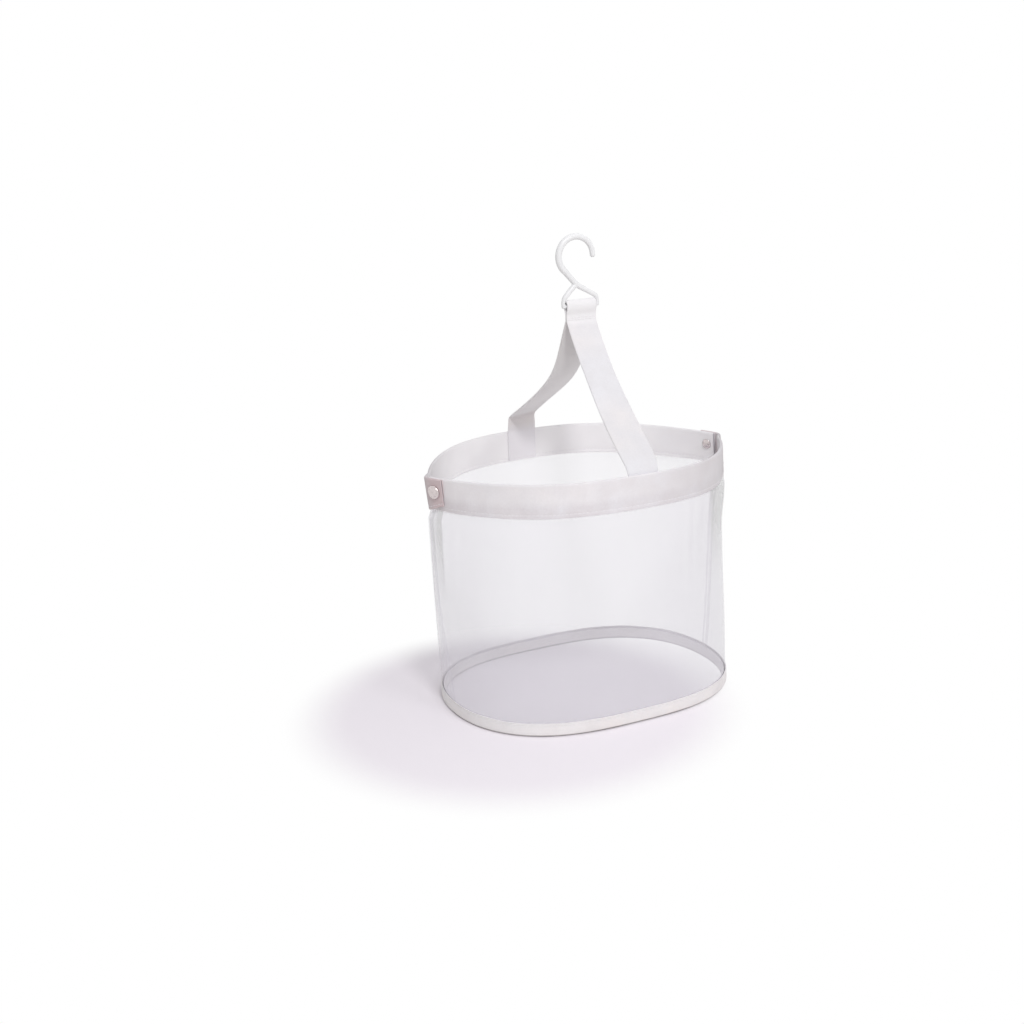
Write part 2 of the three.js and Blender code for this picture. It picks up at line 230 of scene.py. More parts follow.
# camera and stage
view = {
    "azimuth": -25.35, "elevation": 15.77, "roll": -2.23, "distance": 1.1, "focal": 1416, "frame": 1024,
    "target": (0, 0, 0.190), "targetPixel": (578.7, 455.62), "sensor": 36, "nearest": 0.01,
}


def placeCamera():
    az, el, roll = (radians(view[k]) for k in ("azimuth", "elevation", "roll"))
    ahead = Vector((-sin(az) * cos(el), cos(az) * cos(el), -sin(el)))
    level = Vector((cos(az), sin(az), 0))
    upright = level.cross(ahead)
    right = cos(roll) * level + sin(roll) * upright
    up = -sin(roll) * level + cos(roll) * upright
    half = view["frame"] / 2
    scale = view["distance"] / view["focal"]
    px, py = view["targetPixel"]
    place = Vector(view["target"]) - view["distance"] * ahead
    place += -(px - half) * scale * right + (py - half) * scale * up
    data = bpy.data.cameras.new("photoView")
    data.sensor_width = view["sensor"]
    data.lens = view["focal"] / view["frame"] * view["sensor"]
    data.clip_start = view["nearest"]
    camera = bpy.data.objects.new("photoView", data)
    facing = Matrix((right, up, -ahead)).transposed().to_4x4()
    camera.matrix_world = Matrix.Translation(place) @ facing
    scene.collection.objects.link(camera)
    scene.camera = camera


stage = {
    "floorSize": 3.0, "floorTone": (247, 242, 248), "floorBounce": (246, 243, 240), "floorLift": 0.03,
    "shadeCentre": (-0.07, -0.017, 0), "shadowReach": (0.125, 0.185), "worldLight": 0.5,
}
lamps = {
    "top": {"place": (0.25, 0.1, 1.5), "aim": (0, 0, 0.15), "size": 1.2, "power": 2.0},
    "left": {"place": (-0.37, -1.47, 1.66), "aim": (0, 0, 0.2), "size": 0.28, "power": 14},
    "right": {"place": (0.43, -1.71, 1.39), "aim": (0, 0, 0.2), "size": 0.5, "power": 6.2},
}


def seenRay(tree):
    # 1 for rays that show the background: camera, mirror and clear rays
    path = made(tree, "ShaderNodeLightPath").outputs
    seen = path["Is Camera Ray"]
    for other in ("Is Glossy Ray", "Is Transmission Ray"):
        seen = sums(tree, "MAXIMUM", seen, path[other])
    return seen


def emptyTree(holder):
    holder.use_nodes = True
    holder.node_tree.nodes.clear()
    return holder.node_tree


def buildStage():
    scene.world = bpy.data.worlds.new("paleStudio")
    tree = emptyTree(scene.world)
    backdrop, roomLight = (result(tree, "ShaderNodeBackground", {"Color": white, "Strength": strength})
                           for strength in (1, stage["worldLight"]))
    made(tree, "ShaderNodeOutputWorld", {0: mixedShader(tree, seenRay(tree), roomLight, backdrop)})

    half = stage["floorSize"] / 2
    corners = [(-half, -half, 0), (half, -half, 0), (half, half, 0), (-half, half, 0)]
    mesh = bpy.data.meshes.new("floor")
    mesh.from_pydata(corners, [], [(0, 1, 2, 3)])
    floor = newObject("floor", mesh, floorMaterial())

    for name, lamp in lamps.items():
        data = bpy.data.lights.new(name + "Softbox", "AREA")
        data.size = lamp["size"]
        data.energy = lamp["power"]
        light = bpy.data.objects.new(name + "Softbox", data)
        light.location = lamp["place"]
        towards = Vector(lamp["aim"]) - light.location
        light.rotation_euler = towards.to_track_quat("-Z", "Y").to_euler()
        scene.collection.objects.link(light)


def floorMaterial():
    # shows pale and keeps the shadow near the bag, and turns to the white of the backdrop further out
    material = bpy.data.materials.new("paleFloor")
    tree = emptyTree(material)
    tone, bounceTone = tint(stage["floorTone"]), tint(stage["floorBounce"])
    shown = result(tree, "ShaderNodeBsdfDiffuse", {"Color": tone})
    bounce = result(tree, "ShaderNodeBsdfDiffuse", {"Color": bounceTone})
    lift = result(tree, "ShaderNodeEmission", {"Color": tone, "Strength": stage["floorLift"]})
    far = result(tree, "ShaderNodeEmission", {"Color": white, "Strength": 1})
    lifted = result(tree, "ShaderNodeAddShader", {0: shown, 1: lift})
    place = made(tree, "ShaderNodeTexCoord").outputs["Object"]
    reach = made(tree, "ShaderNodeVectorMath", {0: place, 1: stage["shadeCentre"]}, operation="DISTANCE")
    fade = ranged(tree, reach.outputs["Value"], *stage["shadowReach"], kind="SMOOTHSTEP")
    near = mixedShader(tree, fade, lifted, far)
    made(tree, "ShaderNodeOutputMaterial", {0: mixedShader(tree, seenRay(tree), bounce, near)})
    return material


placeCamera()
buildStage()
print("stage: camera, floor, world and", len(lamps), "soft boxes")


# shader groups that several finishes share
groupLook = {
    "ribDrift": 260, "ribDriftReach": 0.5 * mm, "ribRise": 0.32, "crossRise": 0.16, "middle": 0.5,
    "gaps": (0.05, 0.55), "patches": (0.36, 0.64), "flecks": (0.3, 0.7), "scuffs": (0.4, 0.7),
    "drift": (0.38, 0.62), "driftShare": 0.45, "driftShift": (0.31, 0.17, 0.53),
}


def tapeWeave():
    # ribs across a tape and finer warp yarns along it, from the tape's own UV map in metres
    inputs = [("Tape", "Vector", None), ("Rib Pitch", "Float", 0.8 * mm), ("Yarn Pitch", "Float", 0.5 * mm)]
    tree, given, out = newGroup("tapeWeave", inputs, [("Height", "Float"), ("Gaps", "Float")])
    parts = made(tree, "ShaderNodeSeparateXYZ", {0: given["Tape"]}).outputs
    drift = grain(tree, given["Tape"], groupLook["ribDrift"], 2)
    run = sums(tree, "MULTIPLY_ADD", drift, groupLook["ribDriftReach"], parts["X"])

    def wave(way, pitch):
        turns = sums(tree, "DIVIDE", way, given[pitch])
        return sums(tree, "SINE", sums(tree, "MULTIPLY", turns, 2 * pi))
    rib, yarn = wave(run, "Rib Pitch"), wave(parts["Y"], "Yarn Pitch")
    height = sums(tree, "MULTIPLY_ADD", rib, groupLook["ribRise"], groupLook["middle"])
    height = sums(tree, "MULTIPLY_ADD", sums(tree, "MULTIPLY", rib, yarn), groupLook["crossRise"], height)
    feed(tree, out["Height"], height)
    feed(tree, out["Gaps"], ranged(tree, height, *groupLook["gaps"], 1, 0))
    return tree


def clothTone():
    # broad uneven patches and short streaks, as on washed or handled cloth
    inputs = [("Place", "Vector", None), ("Patch Scale", "Float", 30.0), ("Fleck Scale", "Float", 900.0)]
    outputs = [("Patches", "Float"), ("Flecks", "Float"), ("Drift", "Float")]
    tree, given, out = newGroup("clothTone", inputs, outputs)
    patches = grain(tree, given["Place"], given["Patch Scale"], 4, 0.55)
    flecks = grain(tree, given["Place"], given["Fleck Scale"], 2, 0.6)
    slow = sums(tree, "MULTIPLY", given["Patch Scale"], groupLook["driftShare"])
    drift = grain(tree, stretched(tree, given["Place"], (1, 1, 1), groupLook["driftShift"]), slow, 2)
    for (label, _), value in zip(outputs, (patches, flecks, drift)):
        feed(tree, out[label], ranged(tree, value, *groupLook[label.lower()]))
    return tree


def skinGrain():
    # low orange peel and fine scuffs of moulded or rolled surfaces
    inputs = [("Place", "Vector", None), ("Peel Scale", "Float", 120.0), ("Scuff Scale", "Float", 700.0)]
    tree, given, out = newGroup("skinGrain", inputs, [("Peel", "Float"), ("Scuffs", "Float")])
    feed(tree, out["Peel"], grain(tree, given["Place"], given["Peel Scale"], 2))
    scuffs = grain(tree, given["Place"], given["Scuff Scale"], 5, 0.7)
    feed(tree, out["Scuffs"], ranged(tree, scuffs, *groupLook["scuffs"]))
    return tree


weaveGroup, toneGroup, grainGroup = tapeWeave(), clothTone(), skinGrain()
print("shader groups:", weaveGroup.name, toneGroup.name, grainGroup.name)


# finishes
def newFinish(name, plain):
    material = bpy.data.materials.new(name)
    material.use_nodes = True
    tree = material.node_tree
    surface = tree.nodes["Principled BSDF"].inputs
    for label, value in plain.items():
        surface[label].default_value = value
    return material, tree, surface, made(tree, "ShaderNodeTexCoord").outputs["Object"]


def placed(tree, group, inputs):
    return made(tree, "ShaderNodeGroup", inputs, node_tree=group).outputs


def tapeMap(tree):
    return result(tree, "ShaderNodeUVMap", uv_map="tape")


def bump(tree, surface, height, distance, strength=1.0):
    inputs = {"Height": height, "Distance": distance, "Strength": strength}
    feed(tree, surface["Normal"], result(tree, "ShaderNodeBump", inputs))


def webbingFinish(name, cloth):
    plain = {"Roughness": cloth["roughness"], "Sheen Weight": cloth["sheen"], "Specular IOR Level": 0.25}
    material, tree, surface, place = newFinish(name, plain)
    tape = tapeMap(tree)
    weave = placed(tree, weaveGroup, {"Tape": tape, "Rib Pitch": cloth["rib"], "Yarn Pitch": cloth["yarn"]})
    tones = placed(tree, toneGroup, {"Place": place, "Patch Scale": cloth["patch"], "Fleck Scale": cloth["fleck"]})
    light, warm, dark, shadow = (tint(cloth[tone]) for tone in ("light", "warm", "dark", "shadow"))
    colour = blended(tree, tones["Patches"], blended(tree, tones["Drift"], light, warm), dark)
    for mask, depth in ((tones["Flecks"], "fleckDepth"), (weave["Gaps"], "gapDepth")):
        colour = blended(tree, sums(tree, "MULTIPLY", mask, cloth[depth]), colour, shadow)
    # painted light and shade: where each mark begins, where it is full, its share and its colour
    axes = {"tape": tape, "place": place}
    uneven = ranged(tree, tones["Drift"], 0, 1, 0.7, 1)
    for source, axis, start, full, share, mark in cloth["paintedLightAndShade"]:
        spread = ranged(tree, axisOf(tree, axes[source], axis), start, full, 0, share)
        colour = blended(tree, sums(tree, "MULTIPLY", spread, uneven), colour, tint(mark))
    feed(tree, surface["Base Color"], colour)
    bump(tree, surface, weave["Height"], cloth["relief"])
    return material


rimCloth = {
    "light": (240, 238, 244), "warm": (240, 234, 237), "dark": (230, 225, 230), "shadow": (189, 180, 185),
    "roughness": 0.85, "sheen": 0.15, "rib": 0.85 * mm, "yarn": 0.55 * mm, "patch": 45.0, "fleck": 700.0,
    "fleckDepth": 0.1, "gapDepth": 0.16, "relief": 0.14 * mm,
    # painted light and shade: the outer ply is painted lighter above and darker towards its end, the inner ply
    # painted lighter, and the tab painted darker
    "paintedLightAndShade": [
        ("tape", "Y", 7 * mm, 12 * mm, 0.42, (252, 250, 253)),
        ("tape", "X", 0.15, 0.24, 0.62, (205, 200, 204)),
        ("tape", "Y", 24.5 * mm, 27 * mm, 1.0, (254, 252, 254)),
        ("tape", "X", 0.25, 0.33, 0.55, (189, 184, 187)),
        ("tape", "X", 0.336, 0.348, 0.68, (219, 196, 199)),
    ],
}
strapCloth = {
    "light": (238, 237, 242), "warm": (241, 237, 239), "dark": (233, 231, 235), "shadow": (190, 187, 190),
    "roughness": 0.85, "sheen": 0.15, "rib": 0.9 * mm, "yarn": 0.6 * mm, "patch": 35.0, "fleck": 800.0,
    "fleckDepth": 0.08, "gapDepth": 0.12, "relief": 0.14 * mm,
    # painted light and shade: the loop is painted lighter, the back leg painted darker below it and at its fold,
    # and painted lighter between and at its end
    "paintedLightAndShade": [
        ("tape", "X", 0.150, 0.156, 0.5, (254, 253, 255)),
        ("tape", "X", 0.184, 0.190, 0.75, (222, 219, 219)),
        ("tape", "X", 0.215, 0.250, 1.0, (250, 248, 249)),
        ("tape", "X", 0.316, 0.322, 0.45, (212, 200, 200)),
        ("tape", "X", 0.330, 0.338, 0.75, (243, 241, 248)),
    ],
}
bindingCloth = {
    "light": (247, 244, 247), "warm": (247, 242, 243), "dark": (240, 236, 239), "shadow": (196, 191, 196),
    "roughness": 0.75, "sheen": 0.1, "rib": 0.6 * mm, "yarn": 0.5 * mm, "patch": 50.0, "fleck": 900.0,
    "fleckDepth": 0.08, "gapDepth": 0.1, "relief": 0.09 * mm,
    # painted shadow: the lower fold is painted dark, as the shadow under the binding
    "paintedLightAndShade": [("place", "Z", 1.9 * mm, 0.9 * mm, 0.85, (132, 124, 128))],
}
filmLook = {
    "light": (245, 243, 250), "dark": (239, 236, 245), "haze": 0.16, "seamHaze": 0.11, "thinnest": 0.72,
    "roughness": (0.26, 0.34), "uneven": (0.93, 1.07), "streak": (16.0, 16.0, 3.0), "streakSpan": (0.3, 0.7),
    "peel": 26.0, "relief": 0.04 * mm, "reliefShare": 0.4,
    # grey strips in the upper film, on the run round the bag: where each rises, where it ends and its haze; the
    # second, towards the right tip, is painted shade
    "strips": [
        ((-3 * mm, 11 * mm), (11.2 * mm, 12.8 * mm), 0.15),
        ((241 * mm, 250 * mm), (290 * mm, 325 * mm), 0.1),
    ],
    "stripFoot": (95 * mm, 145 * mm), "stripTone": (205, 205, 205),
}
plasticLook = {
    "light": (239, 239, 241), "dark": (233, 233, 236), "roughness": (0.34, 0.44), "metallic": 0.0,
    "peel": 140.0, "scuff": 900.0, "relief": 0.006 * mm,
}
nickelLook = {
    "light": (222, 213, 212), "dark": (186, 175, 175), "roughness": (0.16, 0.34), "metallic": 1.0,
    "peel": 160.0, "scuff": 1500.0, "relief": 0.02 * mm,
}
steelLook = {
    "light": (196, 199, 203), "dark": (160, 164, 170), "roughness": (0.28, 0.45), "metallic": 1.0,
    "peel": 160.0, "scuff": 900.0, "relief": 0.01 * mm,
}
threadLook = {
    "light": (246, 243, 247), "dark": (233, 229, 233), "roughness": (0.5, 0.7), "metallic": 0.0,
    "peel": 2600.0, "scuff": 1800.0, "relief": 0.08 * mm,
}


def filmFinish(name, haze):
    material, tree, surface, place = newFinish(name, {})
    skin = placed(tree, grainGroup, {"Place": place, "Peel Scale": filmLook["peel"]})
    streak = grain(tree, stretched(tree, place, filmLook["streak"]), 1.0)
    colour = blended(tree, streak, tint(filmLook["light"]), tint(filmLook["dark"]))
    run, height = axisOf(tree, tapeMap(tree), "X"), axisOf(tree, place, "Z")
    upper = ranged(tree, height, *filmLook["stripFoot"])
    extra = 0.0
    # the strips grey the film and add to its haze; the second strip is painted shade
    for rise, end, depth in filmLook["strips"]:
        strip = sums(tree, "MULTIPLY", ranged(tree, run, *rise), upper)
        strip = sums(tree, "MULTIPLY", strip, ranged(tree, run, *end, 1, 0))
        colour = blended(tree, strip, colour, tint(filmLook["stripTone"]))
        extra = sums(tree, "MULTIPLY_ADD", strip, depth, extra)
    feed(tree, surface["Base Color"], colour)
    feed(tree, surface["Roughness"], ranged(tree, skin["Scuffs"], 0, 1, *filmLook["roughness"]))
    # the haze of a film grows with the length of the way through it
    facing = made(tree, "ShaderNodeLayerWeight", {"Blend": 0.5}).outputs["Facing"]
    square = sums(tree, "MAXIMUM", sums(tree, "SUBTRACT", 1.0, facing), filmLook["thinnest"])
    clear = sums(tree, "POWER", 1 - haze, sums(tree, "DIVIDE", 1.0, square))
    uneven = ranged(tree, streak, *filmLook["streakSpan"], *filmLook["uneven"])
    alpha = sums(tree, "MULTIPLY", sums(tree, "SUBTRACT", 1.0, clear), uneven)
    feed(tree, surface["Alpha"], sums(tree, "ADD", alpha, extra))
    bump(tree, surface, skin["Peel"], filmLook["relief"], filmLook["reliefShare"])
    return material


def hardFinish(name, look):
    material, tree, surface, place = newFinish(name, {"Metallic": look["metallic"]})
    skin = placed(tree, grainGroup, {"Place": place, "Peel Scale": look["peel"], "Scuff Scale": look["scuff"]})
    feed(tree, surface["Base Color"], blended(tree, skin["Scuffs"], tint(look["light"]), tint(look["dark"])))
    feed(tree, surface["Roughness"], ranged(tree, skin["Scuffs"], 0, 1, *look["roughness"]))
    bump(tree, surface, skin["Peel"], look["relief"])
    return material


filmSkin = filmFinish("hazyFilm", filmLook["haze"])
seamSkin = filmFinish("seamFilm", filmLook["seamHaze"])
rimWebbing = webbingFinish("rimWebbing", rimCloth)
strapWebbing = webbingFinish("strapWebbing", strapCloth)
bindingTape = webbingFinish("bindingTape", bindingCloth)
hookPlastic = hardFinish("whiteHookPlastic", plasticLook)
rivetNickel = hardFinish("rivetNickel", nickelLook)
springSteel = hardFinish("springSteel", steelLook)
sewingThread = hardFinish("sewingThread", threadLook)
print("finishes:", len(bpy.data.materials))


# the bag's two ovals, as in the solids
bag = {
    "rimLength": 253.5 * mm, "rimDepth": 187.5 * mm, "rimHeight": 194.5 * mm, "rimDip": 3 * mm,
    "rimPowers": (2.73, 1.15), "footLength": 233.5 * mm, "footDepth": 179 * mm, "footPowers": (2.87, 2.17),
    "wallBulge": 2 * mm, "bandHeight": 25 * mm, "bandThickness": 2.6 * mm, "bindingHeight": 10.6 * mm,
    "bindingThickness": 3.8 * mm, "filmInset": 1.05 * mm, "filmInBinding": 1.1 * mm,
}


def makeOval(length, depth, powers):
    turn = np.linspace(0, 2 * pi, 12001)
    along, across = np.cos(turn), np.sin(turn)
    x = -np.sign(along) * length / 2 * np.abs(along) ** (2 / powers[0])
    y = -np.sign(across) * depth / 2 * np.abs(across) ** (2 / powers[1])
    run = np.concatenate([[0], np.cumsum(np.hypot(np.diff(x), np.diff(y)))])
    return {"x": x, "y": y, "share": run / run[-1], "round": float(run[-1])}


rim = makeOval(bag["rimLength"], bag["rimDepth"], bag["rimPowers"])
foot = makeOval(bag["footLength"], bag["footDepth"], bag["footPowers"])
rimRound = rim["round"]
rightTip, frontMiddle = rimRound / 2, rimRound / 4


def ovalPoint(oval, share):
    return Vector([np.interp(share % 1, oval["share"], oval[axis]) for axis in "xy"])


def ovalOut(oval, share, reach=1.2 * mm):
    step = reach / oval["round"]
    tangent = (ovalPoint(oval, share + step) - ovalPoint(oval, share - step)).normalized()
    return Vector((tangent.y, -tangent.x))


def rimTop(x):
    return bag["rimHeight"] - bag["rimDip"] * (2 * x / bag["rimLength"]) ** 2


def onRim(run, inset, drop):
    share = run / rimRound
    point, out = ovalPoint(rim, share), ovalOut(rim, share)
    return (point - inset * out).to_3d() + Vector((0, 0, rimTop(point.x) - drop)), out.to_3d()


# tapes folded lengthwise, for the rim bands and the foot binding
def pressed(tape, level):
    # depth of the line where a tape is sewn
    return tape["press"] * exp(-((level - tape["sewn"]) / tape["pressWidth"]) ** 2)


def tapeFaces(tape, section):
    # the two faces of a tape that follows a section, pressed at its sewn line and thin at its edges
    half = tape["tape"] / 2
    faces = ([], [])
    for inset, level, (awayIn, awayUp) in section:
        edge = tape["edgeShare"] if level > tape["edgeFrom"] else 1.0
        for face, sign in zip(faces, (1, -1)):
            away = pressed(tape, level) - sign * half * edge
            face.append((inset + away * awayIn, level - sign * half * awayUp))
    return faces


def runAlong(section):
    run = [0.0]
    for a, b in zip(section, section[1:]):
        run.append(run[-1] + dist(a[:2], b[:2]))
    return run


# rim bands: tape folded over, with a rounded fold above and a pressed line where it is sewn
band = {
    "tape": 0.7 * mm, "steps": 300, "start": 1.5 * mm, "reach": 15.4 * mm, "foldSteps": 12,
    "drops": [25, 24.6, 23.8, 23.2, 22.8, 22.4, 22.0, 21.6, 21.0, 19, 16, 13, 10, 7, 4.5, 2.8],
    "sewn": 22.4 * mm, "press": 0.22 * mm, "pressWidth": 0.75 * mm, "edgeFrom": 24.9 * mm, "edgeShare": 0.55,
    # its end steps outwards over the other band and narrows to a tab
    "ramp": 14 * mm, "shift": 2.9 * mm, "tabRise": 0.17,
    "leftLean": 2.4 * mm, "leftReach": 30 * mm, "rightLean": -3.0 * mm, "rightReach": 62 * mm,
    "wobble": 0.22 * mm, "wobbleScale": (38, 30), "wobbleFrom": 6 * mm,
    "edgeWave": 0.35 * mm, "edgeScale": 24, "edgeWaveFrom": 3 * mm,
    "frontSeed": 3.7, "backSeed": 11.3,
}


def bandShift(run):
    start = rightTip - band["start"] - band["ramp"]
    return band["shift"] * smooth(run, start, start + band["ramp"])


def bandSection():
    # from the outer lower edge over the fold to the inner lower edge: inset, drop, and the way to the outer face
    tape, thick = band["tape"], bag["bandThickness"]
    radius = (thick - tape) / 2
    line = [(tape / 2, drop * mm, (1.0, 0.0)) for drop in band["drops"]]
    for angle in evenly(0, pi, band["foldSteps"]):
        away = (cos(angle), sin(angle))
        line.append((thick / 2 - radius * away[0], thick / 2 - radius * away[1], away))
    return line + [(thick - tape / 2, drop * mm, (-1.0, 0.0)) for drop in band["drops"][::-1]]


def bandLean(run, turned):
    # how far the lower edge leans into the bag, from the pull of the film at the tips
    toLeft = rightTip - run if turned else run
    leftPull = band["leftLean"] * (1 - smooth(toLeft, 0, band["leftReach"]))
    return leftPull + band["rightLean"] * smooth(toLeft, rightTip - band["rightReach"], rightTip)


def bandPoint(run, inset, drop, seed, turned):
    # small unevenness of the sewn tape is added to the solid's own surface
    tall, (runScale, dropScale) = bag["bandHeight"], band["wobbleScale"]
    inset += bandLean(run, turned) * drop / tall
    low = smooth(drop, band["edgeWaveFrom"], tall)
    drop *= 1 - band["tabRise"] * smooth(run, rightTip, rightTip + band["reach"])
    uneven = wobble(run * runScale, drop * dropScale, seed) * smooth(drop, 0, band["wobbleFrom"])
    inset += band["wobble"] * uneven - bandShift(run)
    drop += band["edgeWave"] * wobble(run * band["edgeScale"], 0.5, seed + 3) * low
    return onRim(run, inset, drop)


def bandSkin(name, faces, places, across, seed, turned):
    rings = []
    for run in places:
        sides = [[bandPoint(run, *spot, seed, turned)[0] for spot in face] for face in faces]
        rings.append(ringOf(sides, turned))
    return skinMesh(name, rings, places, across)


def rimBand(name, node, seed, turned):
    section = bandSection()
    places = evenly(band["start"], rightTip + band["reach"], band["steps"])
    mesh = bandSkin(name, tapeFaces(band, section), places, runAlong(section), seed, turned)
    return declared(newObject(name, mesh, rimWebbing), "bag", "rim_webbing", node)


# spring strips: thin steel between the two plies of each band
spring = {
    "inset": 1.0 * mm, "thickness": 0.6 * mm, "top": 1.2 * mm, "bottom": 19.4 * mm, "steps": 150, "rows": 6,
    "endGap": 0.5 * mm,
}


def springStrip(name, node, seed, turned):
    drops = evenly(spring["top"], spring["bottom"], spring["rows"])
    insets = (spring["inset"], spring["inset"] + spring["thickness"])
    ends = band["start"] + spring["endGap"], rightTip + band["reach"] - spring["endGap"]
    faces = [[(inset, drop) for drop in drops] for inset in insets]
    mesh = bandSkin(name, faces, evenly(*ends, spring["steps"]), drops, seed, turned)
    return declared(newObject(name, mesh, springSteel), "bag", "spring_steel", node)


frontBand = rimBand("frontRimBand", "front_rim_band", band["frontSeed"], False)
rimBand("backRimBand", "back_rim_band", band["backSeed"], True)
print("rim bands:", len(frontBand.data.polygons), "faces each")
springStrip("frontSpringStrip", "front_spring_strip", band["frontSeed"], False)
springStrip("backSpringStrip", "back_spring_strip", band["backSeed"], True)
print("spring strips: two, inside the bands")


# film walls: two panels with soft waves, tucked into the band above and the binding below
wall = {
    "thickness": 0.4 * mm, "inset": bag["filmInset"], "steps": 190, "rows": 46, "flatHeight": 170 * mm,
    "bottom": 1.2 * mm, "edgeGap": 0.6 * mm, "bandGap": 0.3 * mm, "cutShare": 0.98,
    "tuck": 5 * mm, "tuckFrom": (15.8 * mm, 35.8 * mm), "leanFrom": 6 * mm,
    # a swell at the left tip, and a hollow under a crown at the right one
    "tipSwell": 1.9 * mm, "tipSpread": 34 * mm, "swellRise": (0.1, 0.6), "swellTop": (0.2 * mm, 7 * mm),
    "tipHollow": 2.0 * mm, "hollowPower": 1.3, "rightSpread": (115 * mm, 55 * mm),
    "tipCrown": 2.5 * mm, "crownSpans": ((0, 5 * mm), (8 * mm, 40 * mm)),
}
waves = {
    "footHold": 14 * mm, "rimHold": 12 * mm, "seamHold": (5 * mm, 22 * mm),
    "broad": {"depth": 1.0 * mm, "run": 17, "height": 9, "seed": 0},
    "pucker": {"depth": 0.16 * mm, "run": 140, "height": 22, "seed": 9, "reach": 48 * mm},
    "gather": {"depth": 0.14 * mm, "run": 110, "height": 24, "seed": 13, "reach": 40 * mm},
    "ripple": {"depth": 0.22 * mm, "pitch": 10.5 * mm, "bend": 1.5, "height": 20, "run": 30, "seed": 5,
               "spans": ((4 * mm, 8 * mm), (18 * mm, 42 * mm))},
}


def wallWave(run, height, low, high, seed):
    # broad waves, puckers at the foot and the rim, and ripples beside the seams, still where the film is held
    def rolling(wave):
        return wave["depth"] * wobble(run * wave["run"], height * wave["height"], seed + wave["seed"])
    toTip, beside = min(run, rightTip - run), waves["ripple"]
    held = hump(height, (low, low + waves["footHold"]), (high - waves["rimHold"], high))
    pucker = rolling(waves["pucker"]) * (1 - smooth(height, low, low + waves["pucker"]["reach"]))
    gather = rolling(waves["gather"]) * smooth(height, high - waves["gather"]["reach"], high)
    free = (rolling(waves["broad"]) + pucker + gather) * smooth(toTip, *waves["seamHold"])
    bend = beside["bend"] * wobble(height * beside["height"], toTip * beside["run"], seed + beside["seed"])
    ripple = beside["depth"] * sin(2 * pi * toTip / beside["pitch"] + bend)
    return (free + ripple * hump(toTip, *beside["spans"])) * held


def wallRing(strip, run, seed, turned):
    # one ring up and down a strip of film between the foot's oval and the rim's
    share = run / rimRound
    rimPoint, rimOut = ovalPoint(rim, share), ovalOut(rim, share)
    footPoint, footOut = ovalPoint(foot, share), ovalOut(foot, share)
    low, high = bag["bindingHeight"], rimTop(rimPoint.x) - bag["bandHeight"] - wall["bandGap"]
    toLeftTip = abs(rightTip - run if turned else run)
    swell = wall["tipSwell"] * (1 - smooth(toLeftTip, 0, wall["tipSpread"]))
    atRight = smooth(toLeftTip, *(rightTip - reach for reach in wall["rightSpread"]))
    lean = bandLean(run, turned)
    top = high + strip["tuck"] * smooth(min(run, rightTip - run), *wall["tuckFrom"])
    sides = ([], [])
    for side, depth in zip(sides, (strip["inset"], strip["inset"] + strip["thickness"])):
        for height in evenly(strip["bottom"], top, strip["rows"]):
            rise = min(max((height - low) / (high - low), 0), 1)
            drop = high - height
            bulge = bag["wallBulge"] * sin(pi * rise)
            bulge += swell * smooth(rise, *wall["swellRise"]) * smooth(drop, *wall["swellTop"])
            bulge -= wall["tipHollow"] * atRight * sin(pi * rise ** wall["hollowPower"])
            bulge -= lean * smooth(height, high - wall["leanFrom"], high)
            bulge += wall["tipCrown"] * atRight * hump(drop, *wall["crownSpans"])
            if seed:
                bulge += wallWave(run, height, low, high, seed)
            atFoot = footPoint - (depth - bag["filmInset"] + bag["filmInBinding"] - bulge) * footOut
            atRim = rimPoint - (depth - bulge) * rimOut
            side.append(Vector((*atFoot.lerp(atRim, rise), height)))
    return ringOf(sides, turned)


def filmStrip(name, node, strip, places, along, seed, turned, material):
    rings = [wallRing(strip, run, seed, turned) for run in places]
    rows = evenly(0, strip["flatHeight"], strip["rows"])
    piece = newObject(name, skinMesh(name, rings, along, rows), material)
    return declared(piece, "bag", "film", node)


def filmWall(name, node, seed, turned):
    places = evenly(wall["edgeGap"], rightTip - wall["edgeGap"], wall["steps"])
    around = [run + rightTip * turned for run in places]  # the back wall carries on where the front one ends
    piece = filmStrip(name, node, wall, places, around, seed, turned, filmSkin)
    return piece


# seam tapes: film strips over the side seams
seam = {
    "width": 8 * mm, "thickness": 0.35 * mm, "inset": 0.38 * mm, "steps": 16, "rows": 40, "flatHeight": 155 * mm,
    "bottom": bag["bindingHeight"] + 0.3 * mm, "tuck": 0,
}


def seamTape(name, node, turned):
    places = evenly(-seam["width"] / 2, seam["width"] / 2, seam["steps"])
    return filmStrip(name, node, seam, places, places, 0, turned, seamSkin)


frontWall = filmWall("frontFilmWall", "front_wall", 21.7, False)
filmWall("backFilmWall", "back_wall", 47.1, True)
print("film walls:", len(frontWall.data.polygons), "faces each")
leftSeam = seamTape("leftSeamTape", "left_seam_tape", False)
seamTape("rightSeamTape", "right_seam_tape", True)
print("seam tapes:", len(leftSeam.data.polygons), "faces each")


